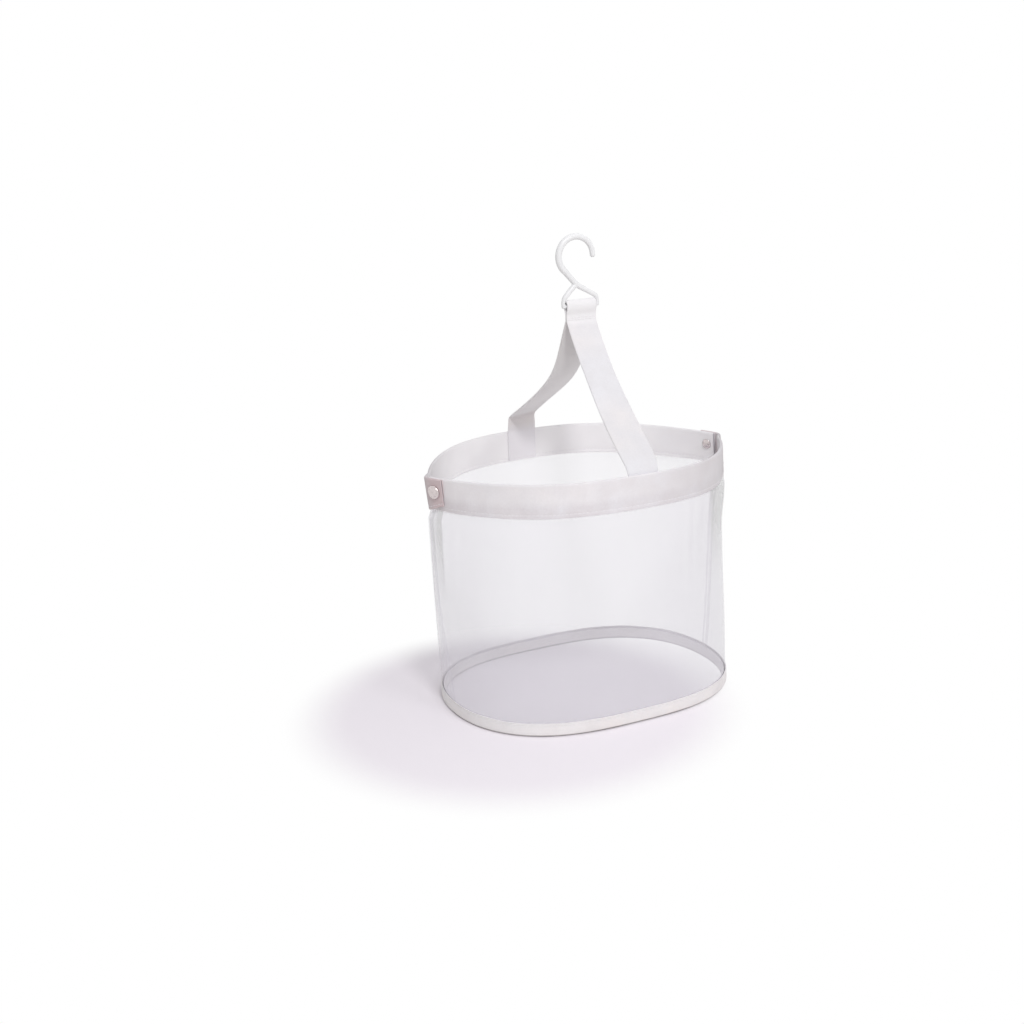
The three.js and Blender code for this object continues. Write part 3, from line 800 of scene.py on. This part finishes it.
# foot: folded binding tape and the film floor
binding = {
    "tape": 0.8 * mm, "steps": 360, "outerCorner": 2.5 * mm, "innerCorner": 1.2 * mm,
    "outerTurns": 8, "innerTurns": 6, "innerHeight": 9.2 * mm, "edgeDrops": (0, 0.4 * mm, 1.4 * mm),
    "levels": [8.6 * mm, 8.2 * mm, 7.8 * mm, 6 * mm, 3.5 * mm],
    "sewn": 8.2 * mm, "press": 0.16 * mm, "pressWidth": 0.6 * mm, "edgeFrom": 10.55 * mm, "edgeShare": 0.6,
    # how far the outer and the inner ply close in on the film between them, and over which heights
    "plyLean": [(0.22 * mm, 5 * mm, 8.5 * mm), (0.8 * mm, 4 * mm, 8 * mm)],
    "seed": 5.3, "waveTurn": 3.5, "wobble": 0.25 * mm, "wobbleScale": 1.5, "wobbleFrom": (1 * mm, 6 * mm),
    "edgeWave": 0.3 * mm, "edgeScale": 2, "edgeWaveFrom": (6 * mm, 10 * mm),
}


def plyLean(height):
    return [lean * smooth(height, low, high) for lean, low, high in binding["plyLean"]]


def bindingSection():
    # from the outer upper edge round the foot to the inner upper edge: inset, height, and the way to the outer face
    tape, thick = binding["tape"], bag["bindingThickness"]
    outer, inner = binding["outerCorner"], binding["innerCorner"]
    outside = [bag["bindingHeight"] - drop for drop in binding["edgeDrops"]] + binding["levels"]
    inside = binding["levels"][::-1] + [binding["innerHeight"]]
    line = [(tape / 2 + plyLean(h)[0], h, (1.0, 0.0)) for h in outside]
    turn = outer - tape / 2
    for angle in evenly(0, pi / 2, binding["outerTurns"]):
        away = (cos(angle), sin(angle))
        line.append((outer - turn * away[0], outer - turn * away[1], away))
    turn = inner - tape / 2
    for angle in evenly(pi / 2, 0, binding["innerTurns"]):
        away = (-cos(angle), sin(angle))
        line.append((thick - inner - turn * away[0], inner - turn * away[1], away))
    return line + [(thick - tape / 2 - plyLean(h)[1], h, (-1.0, 0.0)) for h in inside]


def bindingPoint(share, inset, height):
    point, out = ovalPoint(foot, share), ovalOut(foot, share)
    turn, reach, seed = 2 * pi * share, binding["waveTurn"], binding["seed"]
    around = Vector((cos(turn) * reach, sin(turn) * reach, 0))
    wave = noise.noise(around * binding["wobbleScale"] + Vector((0, 0, seed)))
    inset += binding["wobble"] * wave * smooth(height, *binding["wobbleFrom"])
    wave = noise.noise(around * binding["edgeScale"] + Vector((0, 0, seed + 4)))
    height += binding["edgeWave"] * wave * smooth(height, *binding["edgeWaveFrom"])
    return Vector((*(point - inset * out), height)), out.to_3d()


def footBinding():
    section = bindingSection()
    faces = tapeFaces(binding, section)
    shares = [i / binding["steps"] for i in range(binding["steps"])]
    rings = [ringOf([[bindingPoint(share, *spot)[0] for spot in face] for face in faces]) for share in shares]
    along = [share * foot["round"] for share in shares + [1]]
    mesh = skinMesh("footBinding", rings, along, runAlong(section), True)
    return declared(newObject("footBinding", mesh, bindingTape), "bag", "binding", "foot_binding")


floorFilm = {
    "thickness": 0.5 * mm, "inset": 1.62 * mm, "rings": 34, "steps": 180, "top": 10.2 * mm, "skirt": 8.5 * mm,
    "skirtLevels": (1.3 * mm, 5 * mm, 8.6 * mm), "edgeInset": 0.4 * mm, "edgeDrop": 0.5 * mm,
    "wave": 0.7 * mm, "waveScale": 24, "waveFrom": (0, 0.15), "seed": 2.9,
}


def filmFloor():
    steps, rings, scale = floorFilm["steps"], floorFilm["rings"], floorFilm["waveScale"]
    outs = [ovalOut(foot, i / steps) for i in range(steps)]
    edge = [ovalPoint(foot, i / steps) - floorFilm["inset"] * out for i, out in enumerate(outs)]

    def onTop(place, inward):
        wave = wobble(place.x * scale, place.y * scale, floorFilm["seed"]) * smooth(inward, *floorFilm["waveFrom"])
        return Vector((*place, floorFilm["top"] + floorFilm["wave"] * wave))

    # on each face, rows from the turned-down edge to the middle
    rows = []
    sinks = (0, floorFilm["thickness"])
    for sink in sinks:
        for low in floorFilm["skirtLevels"]:
            rows.append([Vector((*(p - sink * out), low)) for p, out in zip(edge, outs)])
        for i in range(rings):
            inset, drop = (0, 0) if i else (floorFilm["edgeInset"], floorFilm["edgeDrop"])
            lower = Vector((0, 0, drop + sink))
            rows.append([onTop(p * (1 - i / rings - inset / p.length), i / rings) - lower for p in edge])
    points = [p for row in rows for p in row]
    poles = [len(points), len(points) + 1]
    points += [onTop(Vector((0, 0)), 1) - Vector((0, 0, sink)) for sink in sinks]
    faces, count = [], len(rows) // 2

    def join(a, b):
        for j in range(steps):
            k = (j + 1) % steps
            faces.append((a * steps + j, a * steps + k, b * steps + k, b * steps + j))
    for first, pole in zip((0, count), poles):
        for i in range(first, first + count - 1):
            join(i, i + 1)
        last = (first + count - 1) * steps
        faces += [(last + j, last + (j + 1) % steps, pole) for j in range(steps)]
    join(0, count)
    mesh = bpy.data.meshes.new("filmFloor")
    mesh.from_pydata(points, [], faces)
    piece = declared(newObject("filmFloor", turnedOut(mesh), filmSkin), "bag", "film", "floor_panel")
    return piece


bindingPiece = footBinding()
floorPiece = filmFloor()
print("foot: binding", len(bindingPiece.data.polygons), "faces, floor", len(floorPiece.data.polygons))


# strap: one length of webbing from the front band up round the hook's bar and down to the back band
strap = {
    "width": 25 * mm, "thickness": 1.25 * mm, "across": 21, "skew": 4.4 * mm, "legDepth": 87.9 * mm,
    # sewn ends, from below: end, where the front and the back one leave the band, and their easing
    "sewnGap": 0.12 * mm, "lowEnd": 170 * mm, "frontLeave": 192 * mm, "backLeave": 192.5 * mm, "ease": 198 * mm,
    "backEase": 196 * mm, "sewnFade": (190 * mm, 204 * mm), "edgeBow": 0.3 * mm,
    # the tab and the loop round the hook's bar
    "barLean": 8.6 * mm, "barHeight": 307.5 * mm, "barGap": 1.75 * mm, "loopRise": 1.8 * mm, "loopSteps": 24,
    "tabDrop": 11 * mm, "tabTall": 4 * mm, "tabGap": 0.06 * mm, "neck": 2.6 * mm, "cheek": 3 * mm,
    # points on each leg, as shares across and up from its foot to its top
    "tiltHeight": 197.5 * mm, "frontWay": ((0, 0.03), (0.07, 0.09), (0.72, 0.58)),
    "foldHeight": 210.4 * mm, "backWay": ((0.079, 0.028), (0.852, 0.506), (0.768, 0.518)),
    "corner": (-1.0 * mm, 207.2 * mm), "cornerShare": 0.3, "cornerDrop": 3.2 * mm, "cornerPull": 3 * mm,
    "frontTwist": 12.0, "frontTwistEnd": (218 * mm, 262 * mm), "backTwist": 5.6, "foldTwist": 6.0,
    "foldTwistFrom": (0.6, 0.95), "twistFrom": (193 * mm, 209 * mm),
    "cup": 0.5 * mm, "cupMiddle": 0.4, "cupScale": 16, "cupDraw": (2.2, 4.4),
    "wave": 0.35 * mm, "waveScale": 30, "waveDraw": (0.3, 8.1),
    "freeSpans": ((198 * mm, 222 * mm), (270 * mm, 292 * mm)),
    # the section: a round brink, a thicker selvedge, and a line pressed into the tab
    "brink": 0.955, "brinkThin": 0.3, "selvedge": 0.1, "selvedgeSpans": ((0.8, 0.88), (0.94, 0.97)),
    "press": 0.12, "pressSpans": ((296 * mm, 297.4 * mm), (298 * mm, 299.4 * mm)),
}


def bezier(points, count):
    places = []
    for i in range(1, count + 1):
        work = points
        while len(work) > 1:
            work = [a.lerp(b, i / count) for a, b in zip(work, work[1:])]
        places.append(work[0])
    return places


def strapPath():
    # seen from the side as (y, z), with the steps where the back leg starts and ends
    half = strap["thickness"] / 2
    sewn = bag["rimDepth"] / 2 - bag["bandThickness"] - half - strap["sewnGap"]
    bar = Vector((-strap["barLean"], strap["barHeight"]))
    beside, around = half + strap["tabGap"], half + strap["barGap"]
    frontTop, backTop = (bar + Vector((side * beside, -strap["tabDrop"])) for side in (-1, 1))
    frontFoot = Vector((-strap["legDepth"], strap["tiltHeight"]))
    fold = Vector((strap["legDepth"], strap["foldHeight"]))

    def onWay(start, end, across, up):
        return Vector((mixed(start.x, end.x, across), mixed(start.y, end.y, up)))
    bend, rise, pull = (onWay(frontFoot, frontTop, *shares) for shares in strap["frontWay"])
    past, sag, backPull = (onWay(fold, backTop, *shares) for shares in strap["backWay"])
    tabTall, neck, cheek = (Vector((0, strap[k])) for k in ("tabTall", "neck", "cheek"))
    path = [Vector((-sewn, strap["lowEnd"]))]

    def follow(count, *points):
        path.extend(bezier([path[-1], *points], count))

    # front leg
    follow(22, Vector((-sewn, strap["frontLeave"])))
    follow(20, Vector((-sewn, strap["ease"])), rise.lerp(bend, 0.5), rise)
    follow(70, pull, frontTop)
    # tab and loop
    follow(5, frontTop + tabTall)
    side = bar - Vector((around, 0))
    follow(12, frontTop + tabTall + neck, side - cheek, side)
    over = around + strap["loopRise"]
    turns = evenly(0, pi, strap["loopSteps"])[1:]
    path.extend(bar + Vector((-around * cos(turn), over * sin(turn))) for turn in turns)
    back = backTop + tabTall
    follow(12, path[-1] - cheek, back + neck, back)
    follow(5, backTop)
    # back leg, its fold and its sewn end
    backStart = len(path)
    follow(80, backPull, sag, past)
    backEnd = len(path)
    corner = Vector((sewn + strap["corner"][0], strap["corner"][1]))
    before, after = corner.lerp(past, strap["cornerShare"]), corner - Vector((0, strap["cornerDrop"]))
    follow(12, past - strap["cornerPull"] * (sag - past).normalized(), before)
    follow(14, corner, after)
    leave = Vector((sewn, strap["backLeave"]))
    follow(14, Vector((corner.x, strap["ease"])), Vector((sewn, strap["backEase"])), leave)
    follow(22, Vector((sewn, strap["lowEnd"])))
    return path, backStart, backEnd


def strapTwist(i, point, backStart, backEnd):
    # the back leg's fold is oblique, and the front leg turns a little above the rim
    above = smooth(point.y, *strap["twistFrom"])
    if i < backStart:
        return -radians(strap["frontTwist"]) * above * (1 - smooth(point.y, *strap["frontTwistEnd"]))
    share = min((i - backStart) / (backEnd - backStart), 1)
    fold = strap["foldTwist"] * smooth(share, *strap["foldTwistFrom"])
    return -radians(strap["backTwist"] * sin(pi * share) + fold) * above


def strapThickness(w, height):
    brink = (abs(w) - strap["brink"]) / (1 - strap["brink"])
    thick = strap["thickness"] / 2
    if brink > 0:
        thick *= max(strap["brinkThin"], sqrt(max(0.0, 1 - brink * brink)))
    selvedge = strap["selvedge"] * hump(abs(w), *strap["selvedgeSpans"])
    return thick * (1 + selvedge) * (1 - strap["press"] * hump(height, *strap["pressSpans"]))


def strapSkew(y):
    return -(strap["skew"] / strap["legDepth"]) * (y + strap["barLean"])


def strapPiece():
    path, backStart, backEnd = strapPath()
    wide, count = strap["width"] / 2, strap["across"]
    spread = [sin(turn) for turn in evenly(-pi / 2, pi / 2, count - 1)]
    rings, along = [], runAlong(path)
    for i, (point, run) in enumerate(zip(path, along)):
        before, after = path[max(i - 1, 0)], path[min(i + 1, len(path) - 1)]
        tangent = Vector((0, *(after - before).normalized()))
        twist = strapTwist(i, point, backStart, backEnd)
        width = Matrix.Rotation(twist, 3, tangent) @ Vector((1, 0, 0))
        face = tangent.cross(width)
        free = hump(point.y, *strap["freeSpans"])
        bow = strap["edgeBow"] * (1 - smooth(point.y, *strap["sewnFade"])) * (-1 if point.x > 0 else 1)
        wave = strap["wave"] * wobble(run * strap["waveScale"], *strap["waveDraw"]) * free
        cup = strap["cup"] * wobble(run * strap["cupScale"], *strap["cupDraw"]) * free
        sides = ([], [])
        for w in spread:
            centre = Vector((strapSkew(point.x), *point)) + width * (w * wide)
            centre += face * (wave + cup * (w * w - strap["cupMiddle"]))
            centre.y += bow * w * w
            thick = strapThickness(w, point.y)
            sides[0].append(centre + face * thick)
            sides[1].append(centre - face * thick)
        rings.append(ringOf(sides))
    mesh = skinMesh("handleStrap", rings, along, [w * wide for w in spread])
    piece = newObject("handleStrap", mesh, strapWebbing)
    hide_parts("front_strap_end", "back_strap_end", "handle_strap")
    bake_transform(piece)
    return piece


strapObject = strapPiece()
print("strap:", len(strapObject.data.polygons), "faces")


# hook: a house-shaped ring that runs on into the crook, moulded in one piece
hook = {
    "place": (0, -8.6 * mm, 307.5 * mm), "sides": 16, "voxel": 0.36 * mm, "soften": 8, "softenShare": 0.5,
    # the bar's half length, then paths and radii in millimetres in the hook's own flat plane
    "legShift": 14.3, "rightRoof": [(14.3, 0), (14.3, 3.4), (12.7, 6.6), (6, 10.6), (-3, 16)],
    "leftRoof": [(-14.3, 0), (-14.3, 3.4), (-12.8, 6.7), (-8.6, 11.2), (-4.4, 15.2)],
    "bow": (-3, 36.8), "bowRadius": 14.3, "bowTurn": (232, 0), "bowSteps": 18, "splineSteps": 8,
    "bar": 1.45, "barSteps": 15, "elbow": 1.55, "leg": 1.5, "roof": 1.9, "leftEnd": 2.05, "stem": 2.5, "tip": 2.1,
    # shares of the way over which the bar grows or thins
    "toRoof": (0.02, 0.12), "toStem": (0.12, 0.24), "toTip": (0.6, 0.97), "leftToRoof": (0.1, 0.6),
    "tipSteps": 6, "tipTurn": pi / 2 / 6.3,
}


def tubeInto(work, path, radii):
    # round bar along a path
    sides, rings = hook["sides"], []
    for i, (x, z) in enumerate(path):
        before, after = path[max(i - 1, 0)], path[min(i + 1, len(path) - 1)]
        way = Vector((after[0] - before[0], after[1] - before[1])).normalized()
        ring = []
        for j in range(sides):
            turn = 2 * pi * j / sides
            out = radii[i] * cos(turn)
            place = Vector((x - way.y * out, radii[i] * sin(turn), z + way.x * out)) * mm
            ring.append(work.verts.new(place + Vector(hook["place"])))
        rings.append(ring)
    for a, b in zip(rings, rings[1:]):
        for j in range(sides):
            work.faces.new((a[j], a[(j + 1) % sides], b[(j + 1) % sides], b[j]))
    for ring in (rings[0][::-1], rings[-1]):
        work.faces.new(ring)


def splined(points):
    # a smooth curve through points that keeps to each of them
    def between(p, q, r, s, t):
        square, cube = 2 * p - 5 * q + 4 * r - s, 3 * q - p - 3 * r + s
        return 0.5 * (2 * q + (r - p) * t + square * t * t + cube * t ** 3)
    places, each = [], hook["splineSteps"]
    full = [points[0], *points, points[-1]]
    for four in zip(full, full[1:], full[2:], full[3:]):
        places += [tuple(between(*axis, i / each) for axis in zip(*four)) for i in range(each)]
    return places + [points[-1]]


def hookPiece():
    (bowX, bowZ), size, tip = hook["bow"], hook["bowRadius"], hook["tip"]
    turns = [radians(turn) for turn in evenly(*hook["bowTurn"], hook["bowSteps"])]
    path = splined(hook["rightRoof"] + [(bowX + size * cos(turn), bowZ + size * sin(turn)) for turn in turns])
    radii = []
    for share in evenly(0, 1, len(path) - 1):
        radius = mixed(hook["leg"], hook["roof"], smooth(share, *hook["toRoof"]))
        radius = mixed(radius, hook["stem"], smooth(share, *hook["toStem"]))
        radii.append(mixed(radius, tip, smooth(share, *hook["toTip"])))
    # a round end on the tip
    last = Vector(path[-1])
    way = (last - Vector(path[-2])).normalized()
    for k in range(1, hook["tipSteps"] + 1):
        turn = hook["tipTurn"] * k
        path.append(tuple(last + way * (tip * sin(turn))))
        radii.append(tip * cos(turn))
    left = splined(hook["leftRoof"])
    leftRadii = [mixed(hook["leg"], hook["leftEnd"], smooth(i / len(left), *hook["leftToRoof"]))
                 for i in range(len(left))]
    leg = hook["legShift"]
    bar = [(x, 0) for x in np.linspace(-leg, leg, hook["barSteps"])]
    work = bmesh.new()
    tubeInto(work, path, radii)
    tubeInto(work, left, leftRadii)
    tubeInto(work, bar, [hook["bar"]] * len(bar))
    for x in (-leg, leg):
        elbow = Matrix.Translation(Vector(hook["place"]) + Vector((x, 0, 0)) * mm)
        bmesh.ops.create_uvsphere(work, u_segments=16, v_segments=10, radius=hook["elbow"] * mm, matrix=elbow)
    bmesh.ops.recalc_face_normals(work, faces=work.faces)
    piece = newObject("hookBody", meshFrom(work, "hookBody"), hookPlastic)
    joined = piece.modifiers.new("oneMoulding", "REMESH")
    joined.mode = "VOXEL"
    joined.voxel_size = hook["voxel"]
    joined.use_smooth_shade = True
    eased = piece.modifiers.new("softened", "SMOOTH")
    eased.factor = hook["softenShare"]
    eased.iterations = hook["soften"]
    madeReal(piece)
    piece.data.materials.clear()
    piece.data.materials.append(hookPlastic)
    return declared(piece, "hook", "hook_plastic", "hook")


hookObject = hookPiece()
print("hook:", len(hookObject.data.polygons), "faces")


# rivets and their caps: turned profiles, as radius and rise in millimetres
rivet = {
    "inset": 8 * mm, "drop": 9.8 * mm, "seat": 2.96 * mm, "capSeat": -3.05 * mm, "sides": 48, "sharp": 60,
    "head": [(0, 2.02), (0.5, 2.05), (0.9, 2.16), (1.25, 2.4), (1.6, 2.56), (2.0, 2.5), (2.8, 2.18), (3.4, 1.78),
             (3.75, 1.48), (3.98, 1.32), (4.2, 1.32), (4.45, 1.46), (4.75, 1.46), (5.05, 1.26), (5.28, 0.86),
             (5.4, 0.4), (5.38, -0.3), (4.9, -0.3), (1.6, -0.3), (1.6, -5.6), (0, -5.6)],
    "cap": [(0, 2.2), (0.8, 2.16), (1.6, 1.98), (2.3, 1.66), (2.9, 1.2), (3.3, 0.82), (3.6, 0.7), (3.85, 0.58),
            (4.0, 0.34), (3.96, 0.08), (3.7, 0.0), (2.0, 0.0), (1.9, 0.5), (0, 0.5)],
}


def rivetPart(name, profile, base, facing, turned, node):
    lean = (band["rightLean"] if turned else band["leftLean"]) / bag["bandHeight"]
    seat, out = onRim(rivet["inset"], lean * rivet["drop"], rivet["drop"])
    out = (out + Vector((0, 0, -lean))).normalized()
    side = Vector((0, 0, 1)).cross(out).normalized()
    up = out.cross(side)
    sides = rivet["sides"]
    work = bmesh.new()
    rings = []
    for radius, rise in profile:
        middle = seat + out * (base + facing * rise * mm)
        turns = [2 * pi * j / sides for j in range(sides if radius else 1)]
        ring = [middle + radius * mm * (cos(turn) * side + sin(turn) * up) for turn in turns]
        rings.append([work.verts.new(halfTurned(place) if turned else place) for place in ring])
    for a, b in zip(rings, rings[1:]):
        for j in range(sides):
            k = (j + 1) % sides
            corners = [a[j % len(a)], a[k % len(a)], b[k % len(b)], b[j % len(b)]]
            work.faces.new(list(dict.fromkeys(corners)))
    mesh = turnedOut(meshFrom(work, name), rivet["sharp"])
    return declared(newObject(name, mesh, rivetNickel), "bag", "rivet_nickel", node)


for end, turned in (("left", False), ("right", True)):
    rivetPart(end + "RivetHead", rivet["head"], rivet["seat"], 1, turned, end + "_rivet")
    rivetPart(end + "RivetCap", rivet["cap"], rivet["capSeat"], -1, turned, end + "_rivet_cap")
print("rivets: two heads and two caps")


# stitches: a short thread over each hole, set along rows by geometry nodes
stitch = {
    "pitch": 3.0 * mm, "length": 2.3 * mm, "radius": 0.2 * mm, "rise": 0.2 * mm, "sunk": -0.9, "arcSteps": 4,
    "sides": 6, "sharp": 80, "rowStep": 2 * mm, "rimEnd": 1.5 * mm, "innerStart": 2 * mm, "besideStrap": 0.8 * mm,
    # the box of stitches on each strap end, and the rows across the tab
    "boxWide": 10.3 * mm, "boxLow": 172.4 * mm, "boxHigh": 187.0 * mm, "boxSteps": 8,
    "tackWide": 10.8 * mm, "tackHeights": (297.4 * mm, 299.0 * mm), "tackLift": 0.04 * mm, "tackSteps": 10,
}


def stitchTree():
    inputs = [("Rows", "Geometry", None)]
    inputs += [(label, "Float", stitch[label.lower()]) for label in ("Pitch", "Length", "Radius", "Rise")]
    inputs += [("Thread", "Material", None)]
    tree, given, out = newGroup("stitchRows", inputs, [("Stitches", "Geometry")], "GeometryNodeTree")
    line = result(tree, "GeometryNodeMeshToCurve", {"Mesh": given["Rows"]})
    holes = result(tree, "GeometryNodeResampleCurve", {"Curve": line, "Length": given["Pitch"]}, mode="LENGTH")

    # one stitch: a thread that rises out of one hole and goes down the next
    reach = sums(tree, "MULTIPLY", given["Length"], 0.5)
    back = sums(tree, "MULTIPLY", reach, -1)
    sunk = sums(tree, "MULTIPLY", given["Radius"], stitch["sunk"])
    lift = sums(tree, "MULTIPLY", given["Rise"], 2)
    ends = {"Start": {"X": back, "Z": sunk}, "Middle": {"Z": lift}, "End": {"X": reach, "Z": sunk}}
    bend = {label: result(tree, "ShaderNodeCombineXYZ", place) for label, place in ends.items()}
    arc = result(tree, "GeometryNodeCurveQuadraticBezier", {"Resolution": stitch["arcSteps"], **bend})
    circle = {"Resolution": stitch["sides"], "Radius": given["Radius"]}
    ring = result(tree, "GeometryNodeCurvePrimitiveCircle", circle)
    thread = result(tree, "GeometryNodeCurveToMesh", {"Curve": arc, "Profile Curve": ring, "Fill Caps": True})

    # it lies along its row and stands out from the cloth
    along = result(tree, "GeometryNodeInputTangent")
    lie = result(tree, "FunctionNodeAlignRotationToVector", {"Vector": along}, axis="X")
    outward = made(tree, "GeometryNodeInputNamedAttribute", {"Name": "outward"}, data_type="FLOAT_VECTOR")
    turn = {"Rotation": lie, "Vector": outward.outputs["Attribute"]}
    stand = result(tree, "FunctionNodeAlignRotationToVector", turn, axis="Z", pivot_axis="X")
    spots = {"Points": holes, "Instance": thread, "Rotation": stand}
    real = result(tree, "GeometryNodeRealizeInstances", {0: result(tree, "GeometryNodeInstanceOnPoints", spots)})
    rounded = result(tree, "GeometryNodeSetShadeSmooth", {"Geometry": real})
    finish = {"Geometry": rounded, "Material": given["Thread"]}
    feed(tree, out["Stitches"], result(tree, "GeometryNodeSetMaterial", finish))
    return tree


stitchNodes = stitchTree()


def sewnRows(name, rows, body, slot):
    # rows: lists of (place, outward), sewn as one piece
    points, edges, normals = [], [], []
    for row in rows:
        start = len(points)
        points += [place for place, _ in row]
        normals += [out for _, out in row]
        edges += [(start + i, start + i + 1) for i in range(len(row) - 1)]
    mesh = bpy.data.meshes.new(name)
    mesh.from_pydata(points, edges, [])
    outward = mesh.attributes.new("outward", "FLOAT_VECTOR", "POINT")
    outward.data.foreach_set("vector", [c for out in normals for c in out])
    piece = newObject(name, mesh)
    modifier = piece.modifiers.new("stitches", "NODES")
    modifier.node_group = stitchNodes
    for item in stitchNodes.interface.items_tree:
        if item.in_out == "INPUT" and item.name.lower() in stitch:
            modifier[item.identifier] = stitch[item.name.lower()]
        elif item.in_out == "INPUT" and item.name == "Thread":
            modifier[item.identifier] = sewingThread
    madeReal(piece)
    turnedOut(piece.data, stitch["sharp"])
    return declared(piece, body, slot)


def spotOf(place, out, turned):
    return (halfTurned(place), halfTurned(out)) if turned else (place, out)


def bandRow(start, end, outside, seed, turned):
    depth = pressed(band, band["sewn"])
    inset = depth if outside else bag["bandThickness"] - depth
    row = []
    for run in evenly(start, end, max(2, int((end - start) / stitch["rowStep"]))):
        place, out = bandPoint(run, inset, band["sewn"], seed, turned)
        row.append(spotOf(place, out if outside else -out, turned))
    return row


def rimRows():
    # outside from tab to tab, inside on both sides of the strap's end
    middle, reach = frontMiddle + strap["skew"], strap["width"] / 2 + stitch["besideStrap"]
    outer = band["reach"] + stitch["rimEnd"], rightTip + band["reach"] - stitch["rimEnd"], True
    before = band["start"] + stitch["innerStart"], middle - reach, False
    after = middle + reach, rightTip - band["start"] - band["ramp"], False
    sides = (band["frontSeed"], False), (band["backSeed"], True)
    return [bandRow(*row, *side) for side in sides for row in (outer, before, after)]


def bindingRows():
    outer, inner = plyLean(binding["sewn"])
    outer, inner = binding["press"] + outer, bag["bindingThickness"] - binding["press"] - inner
    shares, rows = evenly(0, 1, binding["steps"]), []
    for inset, sign in ((outer, 1), (inner, -1)):
        spots = [bindingPoint(share, inset, binding["sewn"]) for share in shares]
        rows.append([(place, sign * out) for place, out in spots])
    return rows


def strapEndRows():
    # a box of stitches through each sewn end and the band behind it
    rows = []
    wide, low, high = stitch["boxWide"], stitch["boxLow"], stitch["boxHigh"]
    box = [(-wide, low), (wide, low), (wide, high), (-wide, high), (-wide, low)]
    inner = bag["rimDepth"] / 2 - bag["bandThickness"] - strap["thickness"] - strap["sewnGap"]
    for turned in (False, True):
        shift = -strapSkew(inner) if turned else strapSkew(-inner)
        for a, b in zip(box, box[1:]):
            row = []
            for t in evenly(0, 1, stitch["boxSteps"]):
                x, z = mixed(a[0], b[0], t), mixed(a[1], b[1], t)
                bow = strap["edgeBow"] * (2 * x / strap["width"]) ** 2
                row.append(spotOf(Vector((x + shift, -inner + bow, z)), Vector((0, 1, 0)), turned))
            rows.append(row)
    return rows


def tackRows():
    # two rows across the tab under the hook's bar, on both of its faces
    rows = []
    wide, depth = stitch["tackWide"], strap["thickness"] + stitch["tackLift"]
    for height in stitch["tackHeights"]:
        for side in (-1, 1):
            y = -strap["barLean"] + side * depth
            out = Vector((0, side, 0))
            rows.append([(Vector((x, y, height)), out) for x in evenly(-wide, wide, stitch["tackSteps"])])
    return rows


sewnPieces = [
    sewnRows("rimStitches", rimRows(), "bag", "rim_webbing"),
    sewnRows("bindingStitches", bindingRows(), "bag", "binding"),
    sewnRows("strapEndStitches", strapEndRows(), "bag", "strap_webbing"),
    sewnRows("loopStitches", tackRows(), "handle", "strap_webbing"),
]
print("stitches:", sum(len(piece.data.polygons) for piece in sewnPieces), "faces")
